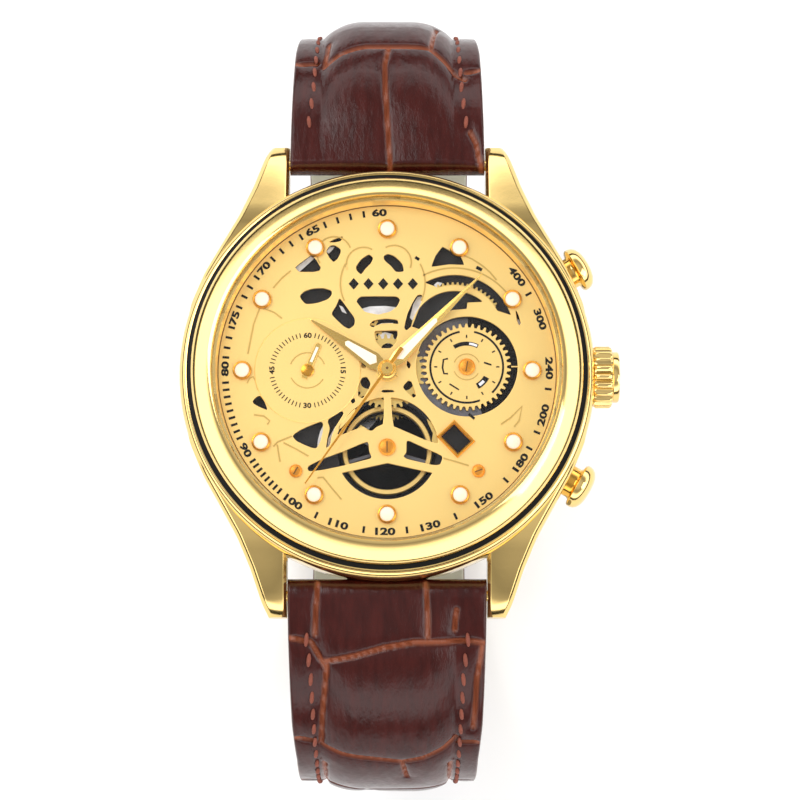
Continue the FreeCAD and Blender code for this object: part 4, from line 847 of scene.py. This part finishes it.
def screw_head(name, at, radius, bottom, turn, body="root"):
    """A slotted orange screw head with a chamfered rim."""
    head = lathe(name, [(0.001, 0), (radius, 0), (radius, 0.16), (radius - 0.17, 0.31),
                        (radius - 0.2, 0.33), (0.001, 0.33)], ORANGE_SCREW,
                 steps=48, closed=False)
    # The slot is a thin dark printed line of painted shade, not a cut groove.
    mark = printed(f"{name}_slot", [stroke([(-radius * 0.62, 0), (radius * 0.62, 0)], 0.12)], 0.325,
                   SHADED_GOLD_LINE, 0.012)
    piece = joined(name, [head, mark])
    return belongs(moved(piece, at[0], at[1], bottom, turn), body, "orange_screws")


def make_screws():
    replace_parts(screw_head("bridge_screw", BRIDGE_SCREW, 0.87, DIAL_TOP, 90), "dial_screws")
    screw_head("dial_screw_left", (-9.17, -10.27), 0.66, DIAL_TOP, 60)
    screw_head("dial_screw_right", (9.18, -10.27), 0.66, DIAL_TOP, 20)
    screw_head("display_screw", DISPLAY, 0.84, 6.95, 80)


def around(centre, points):
    return [(centre[0] + x, centre[1] + y) for x, y in points]


def make_display():
    """The toothed display wheel at 3 o'clock with its printed scale, over a half silver, half black well."""
    belongs(printed("display_well_dark", [arc_band(DISPLAY, 3.4, 5.14, -72, 88, 60)], 6.4, BLACK), "root",
            "dark_plate")
    belongs(printed("display_well_silver", [arc_band(DISPLAY, 3.4, 5.14, 88, 288, 60)], 6.4, STEEL_DARK),
            "root", "steel")
    wheel = cut_plate("display_gear", [toothed(DISPLAY, 4.08, 4.48, 42)], 6.5, 6.92, GOLD_DIAL)
    marks = [arc_band(DISPLAY, 3.58, 3.78, -46, 78, 40), arc_band(DISPLAY, 3.58, 3.78, 101, 291, 60)]
    for hour in range(12):
        marks.append(stroke([clockwise(2.98, 30 * hour, DISPLAY), clockwise(3.3, 30 * hour, DISPLAY)], 0.13))
    marks.append(arc_band(DISPLAY, 2.2, 2.6, 62, 122, 16))
    marks.append(around(DISPLAY, stroke([(-1.9, 0.85), (-2.35, 0.75), (-2.45, -0.1), (-2.3, -0.7),
                                         (-1.9, -0.7)], 0.17)))
    marks.append(around(DISPLAY, stroke([(1.75, 0.45), (2.5, 0.2)], 0.17)))
    marks.append(around(DISPLAY, stroke([(-1.75, -1.75), (-0.8, -2.35)], 0.15)))
    marks.append(arc_band(DISPLAY, 1.95, 2.55, -62, -28, 12))
    scale = printed("display_marks", marks, 6.92, BLACK)
    # Near-white arcs on the display wheel: painted highlights.
    inlay = printed("display_painted_highlights", [arc_band(DISPLAY, 2.1, 2.4, -56, -40, 8),
                                      arc_band(DISPLAY, 2.28, 2.52, 64, 84, 8)],
                    6.94, WHITE_HIGHLIGHT)
    rings = printed("display_relief", [arc_band(DISPLAY, 1.28, 1.38, 20, 160, 24),
                                       arc_band(DISPLAY, 1.28, 1.38, 200, 330, 24)],
                    6.92, GOLD_RELIEF_SHADED)
    belongs(joined("display_face", [wheel, scale, inlay, rings]), "display", "gold_dial", "display_wheel")
    pointer = stroke([(DISPLAY[0] + 4.5, DISPLAY[1] + 0.05), (DISPLAY[0] + 5.14, DISPLAY[1] + 0.05)], 0.14)
    belongs(printed("display_pointer", [pointer], 6.8, GOLD_DIAL), "root", "gold_dial")
    dashes = [
        stroke([(8.22, -4.45), (8.8, -4.95)], 0.26), stroke([(2.85, 11.72), (3.25, 11.46)], 0.3),
        stroke([(9.06, 10.68), (9.62, 10.38)], 0.34),
    ]
    for step in range(5):
        x = -3.4 + 1.5 * step
        dashes.append([(x - 0.52, 8.95), (x, 9.55), (x + 0.52, 8.95), (x, 8.35)])
    belongs(printed("dial_dashes", dashes, DIAL_TOP, BLACK), "root", "gold_dial")


def make_counter():
    """The small-seconds counter at 9 o'clock: a raised disc, its scale, numerals and hand."""
    disc = lathe("counter_disc", [(0.001, 7.3), (5.35, 7.3), (5.36, 7.35), (5.3, 7.4), (5.2, 7.4),
                                  (0.001, 7.4)], GOLD_DIAL,
                 closed=False)
    ticks = []
    for second in range(60):
        if second % 15 in (14, 0, 1):
            continue
        ticks.append(stroke([clockwise(3.4, 6 * second), clockwise(3.88, 6 * second)], 0.09))
    scale = printed("counter_ticks", ticks, 7.4, BLACK)
    pieces = [moved(disc, *COUNTER), moved(scale, *COUNTER)]
    for text, angle in (("60", 0), ("15", 90), ("30", 180), ("45", 270)):
        x, y = clockwise(3.6, angle, COUNTER)
        turn = {0: 0, 90: -90, 180: 0, 270: 90}[angle]
        pieces.append(written(f"counter_{text}", text, 0.5, x, y, 7.415, BLACK, turn, 0.02, 1.15))
    rings = [arc_band(COUNTER, 1.75, 1.87, 20, 160, 24), arc_band(COUNTER, 1.75, 1.87, 205, 330, 24)]
    pieces.append(printed("counter_relief", rings, 7.4, GOLD_RELIEF_SHADED))
    belongs(joined("counter", pieces), "root", "gold_dial", "small_seconds_disc")

    outline = [(0.34, 0), (0.3, 2.8), (0.16, 3.0), (-0.16, 3.0), (-0.3, 2.8), (-0.34, 0), (-0.28, -0.9),
               (0.28, -0.9)]
    arm = cut_plate("counter_hand_arm", [outline], 7.46, 7.56, GOLD_HAND)
    cap = lathe("counter_hand_cap", [(0.001, 7.4), (0.6, 7.4), (0.66, 7.55), (0.5, 7.63), (0.001, 7.65)],
                GOLD_DEEP,
                steps=40, closed=False)
    light = printed("counter_hand_lume", [[(0.13, 0.9), (0.13, 2.55), (-0.13, 2.55), (-0.13, 0.9)]], 7.56,
                    LUME, 0.02)
    hand = moved(joined("counter_hand", [arm, cap, light]), turn=-23)
    belongs(moved(hand, *COUNTER), "fourth", "gold_hands", "small_seconds_hand")


def make_date_frame():
    """A raised gold frame, bevelled on both sides, around a dark window."""
    rings = [(3.05, 2.5, 7.3), (3.02, 2.46, 7.42), (2.86, 2.28, 7.56), (2.55, 1.98, 7.56),
             (2.34, 1.76, 7.42), (2.34, 1.76, 7.3)]
    vertices = []
    for length, width, level in rings:
        vertices += [(x, y, level) for x, y in turned_box(DATE_AT, length, width, DATE_TURN)]
    faces = ring_faces(len(rings), 4, loop=True)
    frame_piece = new_piece("date_frame_bevelled", vertices, faces, GOLD_DEEP)
    merge_doubles(frame_piece)
    belongs(sharpen(frame_piece, 20), "root", "gold_dial", "date_frame")


# ---- hands ----

def faceted_hand(name, length, width, widest, tail, low, ridge, lume_from, lume_to, angle, body, node):
    """A kite-shaped hand with a ridge along it and a strip of lume, turned clockwise from 12."""
    outline = [(0, -tail), (width / 2, widest), (0.06, length), (-0.06, length), (-width / 2, widest)]
    count = len(outline)
    vertices = [(x, y, low) for x, y in outline] + [(x, y, low + 0.06) for x, y in outline]
    vertices += [(0, -tail * 0.9, low + 0.1), (0, widest, ridge), (0, length - 0.1, low + 0.1)]
    tail_top, middle, tip = 2 * count, 2 * count + 1, 2 * count + 2
    faces = [tuple(reversed(range(count)))]
    for i in range(count):
        j = (i + 1) % count
        faces.append((i, j, j + count, i + count))
    top = [count + i for i in range(count)]
    faces += [(top[0], top[1], middle, tail_top), (top[1], top[2], tip, middle), (top[2], top[3], tip),
              (top[3], top[4], middle, tip), (top[4], top[0], tail_top, middle)]
    blade = new_piece(f"{name}_blade", vertices, faces, GOLD_HAND, smooth=False)
    reach = lume_to - lume_from
    base = width * 0.31
    neck = base * (1 - reach / length) * 0.8
    strip = [(0, lume_from - 0.1), (base, lume_from + 0.35), (neck, lume_to - 0.2), (0, lume_to),
             (-neck, lume_to - 0.2),
             (-base, lume_from + 0.35)]
    lume = cut_plate(f"{name}_lume", [strip], low + 0.06, ridge + 0.015, LUME, 0.02)
    hub = lathe(f"{name}_hub", [(0.001, low), (0.95, low), (0.95, low + 0.12), (0.8, ridge),
                                (0.001, ridge)], GOLD_HAND,
                steps=48, closed=False)
    hand = moved(joined(name, [blade, lume, hub]), turn=-angle)
    belongs(hand, body, "gold_hands", node)


def make_hands():
    faceted_hand("dauphine_hour", 9.3, 1.8, 1.7, 1.3, 7.68, 7.98, 1.35, 5.1, 303.7, "hour_train",
                 "hour_hand")
    faceted_hand("dauphine_minute", 13.7, 1.5, 1.8, 1.3, 8.06, 8.32, 1.5, 7.2, 44.4, "minute_train",
                 "minute_hand")
    outline = [(0.17, 0), (0.07, 14.3), (-0.07, 14.3), (-0.17, 0), (-0.22, -2.6), (0.22, -2.6)]
    needle = cut_plate("needle", [outline], 8.44, 8.56, GOLD_DEEP, 0.02)
    cap = lathe("needle_cap", [(0.001, 8.4), (0.72, 8.4), (0.74, 8.55), (0.6, 8.7), (0.001, 8.74)],
                GOLD_HAND, steps=48,
                closed=False)
    # Painted shade: a dark dot at the middle of the needle's cap.
    dot = lathe("needle_dot", [(0.001, 8.7), (0.14, 8.7), (0.14, 8.76), (0.001, 8.77)], SHADED_GOLD_LINE,
                steps=24, closed=False)
    belongs(moved(joined("seconds_needle", [needle, cap, dot]), turn=-215), "sweep", "gold_hands",
            "seconds_hand")


# ---- strap ----

BAR_AT = (22.4, 3.0)
LEAD = 4.0
LEAD_DROP = -12.0
ROUND_END = {"12": 0.9, "6": 1.7}
HALVES = {
    "12": {"side": 1, "shoulder": 14.7, "bottom": -37.6, "straight": 17.0},
    "6": {"side": -1, "shoulder": 17.2, "bottom": -43.4, "straight": 42.0},
}
HALF_WIDTH = [(0, 10.05), (4, 10.0), (14, 9.75), (20, 9.4), (45, 9.0), (70, 8.8)]
CROWN = {
    "12": [(0, 1.45), (4, 1.95), (9, 3.0), (16, 3.7), (24, 3.7), (40, 2.6), (62, 1.4), (81, 1.2)],
    "6": [(0, 1.45), (4, 1.6), (9, 1.5), (16, 1.2), (24, 1.1), (50, 1.4), (72, 1.1), (115, 1.0)],
}
FLANGE = {
    "12": [(0, 1.4), (4, 1.45), (9, 1.6), (16, 1.9), (24, 1.9), (40, 1.2), (62, 0.9), (81, 1.1)],
    "6": [(0, 1.4), (4, 1.1), (9, 0.6), (16, 0.15), (24, 0.05), (50, 0.5), (72, 0.9), (115, 0.9)],
}
STITCH_LINE = [(3.6, 8.15), (7, 7.75), (12, 7.55), (20, 7.3), (40, 7.1), (120, 7.0)]
# Each crease is a line of (across, along) points.
CREASES = {
    "12": [
        [(0.3, -1.2), (0.1, 2.4), (-0.2, 7.0), (-0.3, 10.0), (0.1, 12.4)],
        [(-6.6, 10.9), (-5.1, 11.8), (-2.3, 12.5), (1.8, 12.5), (4.5, 12.4), (6.0, 11.2), (7.2, 10.0),
         (8.1, 9.4)],
        [(4.5, 12.4), (5.2, 17.6)], [(-6.6, 10.9), (-6.2, 14.4)], [(-9.7, 11.6), (-7.5, 11.8)],
        [(8.2, 10.4), (9.8, 10.7)], [(8.6, 3.2), (9.2, 1.9), (9.5, 0.0), (9.8, -1.1)],
    ],
    "6": [
        [(-7.0, -1.3), (-7.2, 1.5), (-7.3, 3.8)], [(3.9, -1.3), (4.1, 1.8), (4.1, 4.0)],
        [(7.0, 1.3), (6.8, 3.3)],
        [(-6.2, 6.4), (-3.3, 5.8), (-0.3, 5.0), (2.7, 4.5), (5.7, 4.5), (7.5, 4.4)],
        [(-7.7, 4.5), (-6.2, 7.1)],
        [(-6.1, 6.7), (-6.3, 9.0), (-6.6, 12.2), (-6.8, 16.6)], [(-9.9, 4.1), (-8.0, 4.5)],
        [(7.8, 4.4), (9.9, 4.6)],
        [(-6.8, 16.6), (-4.7, 17.4), (-1.3, 18.0), (1.5, 18.5), (3.7, 17.9), (5.8, 16.8), (7.0, 15.7)],
        [(1.5, 18.5), (2.0, 21.6)], [(-9.4, 15.8), (-7.6, 16.3)], [(7.3, 16.5), (9.3, 16.5)],
        [(9.6, 5.0), (9.1, 8.3), (8.8, 14.3)],
    ],
}


def strap_length(half):
    path = HALVES[half]
    over_shoulder = math.radians(90 + LEAD_DROP) * path["shoulder"]
    return LEAD + over_shoulder + math.pi / 2 * strap_round(half) + path["straight"]


def strap_round(half):
    """The radius of a half's long curve, down to its level under the case."""
    path = HALVES[half]
    drop = math.radians(LEAD_DROP)
    centre_level = BAR_AT[1] + math.sin(drop) * LEAD - math.cos(drop) * path["shoulder"]
    return centre_level - path["bottom"]


def strap_place(half, along):
    """(y, z) of the middle line and of its outward normal, at a distance from the spring bar."""
    path = HALVES[half]
    drop = math.radians(LEAD_DROP)
    shoulder, round_radius = path["shoulder"], strap_round(half)
    bend_y = BAR_AT[0] + math.cos(drop) * LEAD + math.sin(drop) * shoulder
    bend_z = BAR_AT[1] + math.sin(drop) * LEAD - math.cos(drop) * shoulder
    first = math.radians(90 + LEAD_DROP) * shoulder
    second = math.pi / 2 * round_radius
    if along < LEAD:
        heading = drop
        y, z = BAR_AT[0] + math.cos(drop) * along, BAR_AT[1] + math.sin(drop) * along
    elif along < LEAD + first:
        heading = drop - (along - LEAD) / shoulder
        y, z = bend_y - math.sin(heading) * shoulder, bend_z + math.cos(heading) * shoulder
    else:
        heading = -math.pi / 2 - min((along - LEAD - first) / round_radius, math.pi / 2)
        y = bend_y + shoulder - round_radius - math.sin(heading) * round_radius
        z = bend_z + math.cos(heading) * round_radius
        y -= max(along - LEAD - first - second, 0.0)
    return y * path["side"], z, -math.sin(heading) * path["side"], math.cos(heading)


def strap_point(half, across, along, offset):
    y, z, out_y, out_z = strap_place(half, along)
    return (across, y + out_y * offset, z + out_z * offset)


def half_width(half, along):
    width = between(HALF_WIDTH, along)
    past = along - (strap_length(half) - 8)
    if half == "6" and past > 0:
        width *= math.sqrt(max(1 - (past / 8) ** 2, 0.0001))
    return width


def all_creases(half):
    """The creases near the case, then an even pattern of scales to the strap's end."""
    lines = list(CREASES[half])
    end = strap_length(half)
    along, turn = (21.5, 1) if half == "12" else (26.0, -1)
    while along < end - 2:
        bow = random.uniform(0.4, 1.0)
        lines.append([(-6.4, along + 0.8 * turn), (-3, along + bow), (0.4, along + bow), (3.2, along + 0.4),
                      (6.4, along - 0.8 * turn)])
        split = random.uniform(-2.4, 2.4)
        lines.append([(split, along + 0.8), (split + random.uniform(-0.4, 0.4), along + 3.9)])
        for near in (0.0, 4.1):
            for side in (-1, 1):
                lines.append([(side * 6.7, along + near + 1.2),
                              (side * 9.1, along + near + random.uniform(0.6, 1.6))])
        along += 7.9
        turn = -turn
    for side in (-1, 1):
        lines.append([(side * 6.5, s) for s in np.linspace(20.0, end - 3, 40)])
    return lines


def crease_distance(across, along, lines):
    """How far each grid point is from the nearest crease."""
    nearest = np.full(across.shape, 9.0)
    for line in lines:
        for (u_a, s_a), (u_b, s_b) in zip(line, line[1:]):
            run, rise = u_b - u_a, s_b - s_a
            rows = np.nonzero((along[:, 0] > min(s_a, s_b) - 2.5) & (along[:, 0] < max(s_a, s_b) + 2.5))[0]
            if not len(rows):
                continue
            u, s = across[rows], along[rows]
            share = np.clip(((u - u_a) * run + (s - s_a) * rise) / (run * run + rise * rise), 0, 1)
            gap = np.hypot(u - u_a - share * run, s - s_a - share * rise)
            nearest[rows] = np.minimum(nearest[rows], gap)
    return nearest


def strap_stations(half):
    end = strap_length(half)
    stations = [ROUND_END[half] * -math.cos(math.radians(a)) for a in range(2, 90, 8)] + [0.0]
    while stations[-1] < min(30.0, end):
        stations.append(stations[-1] + 0.17)
    while stations[-1] < end - 8.0:
        stations.append(stations[-1] + 0.32)
    start = stations[-1]
    if half == "6":
        stations += [start + (end - start) * math.sin(math.radians(a)) for a in range(2, 90, 2)]
    else:
        stations += [start + (end - start) * i / 24 for i in range(1, 25)]
        stations += [end + ROUND_END[half] * math.sin(math.radians(a)) for a in range(8, 90, 8)]
    return stations


def pinch(half, along):
    """How much of the thickness is left where an end rounds over its bar."""
    past = max(-along, along - strap_length(half) if half == "12" else 0.0)
    return math.sqrt(max(1 - (past / ROUND_END[half]) ** 2, 0.0)) if past > 0 else 1.0


def make_leather(half):
    columns = 112
    stations = strap_stations(half)
    shares = np.linspace(-1, 1, columns)
    widths = np.array([half_width(half, s) for s in stations])
    across = np.outer(widths - 0.14, shares)
    along = np.outer(stations, np.ones(columns))
    gap = crease_distance(across, along, all_creases(half))
    crease = np.clip(1 - gap / 0.34, 0, 1)
    swell = 1 - np.exp(-gap / 0.9)
    crown = np.array([between(CROWN[half], max(s, 0)) for s in stations])[:, None]
    flange = np.array([between(FLANGE[half], max(s, 0)) for s in stations])[:, None]
    slope = np.clip((np.abs(across) - 2.6) / 4.3, 0, 1)
    shallow = np.clip((widths[:, None] - np.abs(across)) / 0.9, 0.15, 1)
    relief = (0.25 * swell - 0.16 - 0.34 * crease) * shallow
    height = flange + (crown - flange) * (1 - slope ** 2) ** 0.8 + relief
    vertices, marks = [], []
    end = strap_length(half)
    for i, s in enumerate(stations):
        left = pinch(half, s)
        under = -1.45 if s < 2 or (half == "12" and s > end - 2) else -0.6
        width = widths[i]
        low = flange[i][0] - 0.04
        row = [(-width + 0.15, under), (-width, under + 0.12), (-width, low - 0.22),
               (-width + 0.05, low - 0.08)]
        row += list(zip(across[i], height[i]))
        row += [(width - 0.05, low - 0.08), (width, low - 0.22), (width, under + 0.12),
                (width - 0.15, under)]
        vertices += [strap_point(half, u, s, offset * left) for u, offset in row]
        marks += [0.0] * 4 + list(np.minimum(crease[i] * 1.4, 1)) + [0.0] * 4
    count = columns + 8
    faces = ring_faces(len(stations), count)
    faces += [tuple(range(count))[::-1], tuple(range((len(stations) - 1) * count, len(stations) * count))]
    obj = new_piece(f"leather_{half}", vertices, faces, LEATHER, LEATHER_EDGE)
    depth = obj.data.attributes.new("crease", "FLOAT", "POINT")
    depth.data.foreach_set("value", marks)
    sides = [1 if j in (0, 1, 2, count - 4, count - 3, count - 2) else 0 for j in range(count)]
    for face in obj.data.polygons:
        face.material_index = sides[face.index % count] if face.index < (len(stations) - 1) * count else 1
    merge_doubles(obj, distance=0.0)
    return sharpen(obj, 60)


def make_lining(half):
    end = strap_length(half)
    stations = [1.9 + (end - 3.8) * i / 240 for i in range(241)]
    if half == "6":
        stations += [end - 1.9 + 1.8 * math.sin(math.radians(a)) for a in range(10, 91, 10)]
    vertices = []
    for s in stations:
        width = max(half_width(half, s) - 0.12, 0.05)
        section = [(-width, -0.62), (-width, -1.2), (-width + 0.2, -1.4), (width - 0.2, -1.4),
                   (width, -1.2), (width, -0.62)]
        vertices += [strap_point(half, u, s, offset) for u, offset in section]
    faces = ring_faces(len(stations), 6)
    faces += [(5, 4, 3, 2, 1, 0), tuple(range(len(vertices) - 6, len(vertices)))]
    obj = new_piece(f"lining_{half}", vertices, faces, LINING)
    merge_doubles(obj)
    return sharpen(obj, 40)


def make_stitches(half):
    """Two rows of slightly slanted thread, each stitch a small rounded bead sunk into the leather."""
    end = strap_length(half) - (4.5 if half == "12" else 3.5)
    vertices, faces = [], []
    along = 3.6
    while along < end:
        for side in (-1, 1):
            u = min(between(STITCH_LINE, along), half_width(half, along) - 1.2)
            level = between(FLANGE[half], along) + 0.12
            start = len(vertices)
            for run, radius in ((0, 0.05), (0.12, 0.15), (0.45, 0.22), (0.9, 0.22), (1.25, 0.15),
                                (1.37, 0.05)):
                for step in range(8):
                    angle = math.pi / 4 * step
                    lean = side * 0.09 * (run - 0.7)
                    height = level + radius * math.sin(angle) - 0.3 * abs(run - 0.68) ** 2
                    vertices.append(strap_point(half, side * u + lean + radius * math.cos(angle), along + run,
                                                height))
            faces += ring_faces(6, 8, start=start)
        along += 2.02
    return new_piece(f"stitches_{half}", vertices, faces, THREAD)


def drilled(obj, tools):
    """The piece with the tool meshes cut out of it."""
    for tool in tools:
        cutter = obj.modifiers.new("cut", "BOOLEAN")
        cutter.operation = "DIFFERENCE"
        cutter.solver = "EXACT"
        cutter.object = tool
    mesh = evaluated_mesh(obj)
    obj.modifiers.clear()
    obj.data = mesh
    for tool in tools:
        bpy.data.objects.remove(tool)
    return obj


def strap_holes():
    """Punches for the six holes in the long half's tail."""
    punches = []
    for i in range(6):
        y, z, _, _ = strap_place("6", strap_length("6") - 12 - 6.5 * i)
        punch = lathe(f"punch_{i}", [(0.0, z - 4), (0.9, z - 4), (0.9, z + 4), (0.0, z + 4)], RUBBER,
                      steps=32,
                      closed=False)
        punches.append(moved(punch, 0, y))
    return punches


def tongue_slot():
    """A punch for the slot that lets the tongue round its bar."""
    y, z, _, _ = strap_place("12", strap_length("12"))
    corners = [(x, y + dy, z + dz) for dz in (-4, 4) for x,
               dy in ((-1.3, -4), (1.3, -4), (1.3, 4), (-1.3, 4))]
    sides = [(0, 3, 2, 1), (4, 5, 6, 7), (0, 1, 5, 4), (1, 2, 6, 5), (2, 3, 7, 6), (3, 0, 4, 7)]
    return [new_piece("slot_punch", corners, sides, RUBBER, smooth=False)]


def make_strap():
    for half, body, punches in (("12", "strap_upper", tongue_slot), ("6", "strap_lower", strap_holes)):
        leather = drilled(make_leather(half), punches())
        lining = drilled(make_lining(half), punches())
        belongs(leather, body, "strap_leather", f"strap_{half}_leather")
        belongs(lining, body, "strap_lining", f"strap_{half}_lining")
        belongs(make_stitches(half), body, "strap_leather")


def make_keeper(name, near, far, high, body, node):
    """A soft leather loop with rounded corners and thinned edges, standing round the strap."""
    top, bottom, reach, thick = high, -41.5 + (high + 35.0), 10.0, 1.0
    path = []
    for corner_x, corner_z, start in ((1, 1, 0), (-1, 1, 90), (-1, -1, 180), (1, -1, 270)):
        for step in range(9):
            angle = math.radians(start + 90 * step / 8)
            path.append((corner_x * (reach - 1.5), (top + bottom) / 2 + corner_z * ((top - bottom) / 2 - 1.5),
                         math.cos(angle), math.sin(angle)))
    middle, half = (near + far) / 2, (far - near) / 2
    section = [(0.45, -half), (0.16, -half + 0.05), (0.04, -half + 0.35), (0, 0), (0.04, half - 0.35),
               (0.16, half - 0.05),
               (0.45, half), (thick, half - 0.1), (thick, -half + 0.1)]
    vertices = []
    for x, z, out_x, out_z in path:
        vertices += [(x + out_x * (1.5 - inward), middle + y, z + out_z * (1.5 - inward)) for inward,
                     y in section]
    faces = ring_faces(len(path), len(section), loop=True, across=True)
    obj = new_piece(name, vertices, faces, LEATHER)
    merge_doubles(obj)
    belongs(sharpen(obj, 50), body, "strap_leather", node)


# ---- parts shown as their own solids ----

NODE_LOOKS = [
    (CRYSTAL, ["crystal"]),
    (GOLD_SATIN, ["case_back", "buckle_frame", "buckle_tongue", "lug_spring_bars"]),
    (RUBBER, ["case_back_gasket"]),
    (STEEL, ["case_tubes", "pusher_springs", "movement_ring", "buckle_spring_bar", "winding_stem",
             "winding_pinion", "sliding_clutch", "setting_lever", "yoke", "click", "pallet_fork",
             "sweep_arbor", "cannon_pinion", "train_bridge", "barrel_bridge", "ratchet_wheel", "crown_wheel",
             "mainspring", "barrel_arbor"]),
    (DARK_PLATE_AND_SHADE, ["main_plate", "balance_cock", "hairspring"]),
    (RUBY, ["jewels"]),
    (ORANGE_SCREW, ["movement_screws"]),
    (GOLD_WHEEL, ["centre_wheel", "third_wheel", "fourth_wheel", "escape_wheel", "barrel_drum", "hour_wheel",
                  "minute_wheel"]),
]


def dress_nodes():
    for look, names in NODE_LOOKS:
        for name in names:
            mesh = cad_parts[name].data
            mesh.materials.clear()
            mesh.materials.append(look)


random.seed(5)
make_camera()
make_light()
make_floor()
make_case()
make_crown()
make_pushers()
make_dial()
make_print()
make_plots()
make_depths()
make_balance()
make_screws()
make_display()
make_counter()
make_date_frame()
make_hands()
make_strap()
make_keeper("keeper_fixed", 1.07, 5.57, -35.0, "strap_upper", "fixed_keeper")
make_keeper("keeper_free", 7.07, 11.57, -35.0, "loose_keeper", "free_keeper")
dress_nodes()
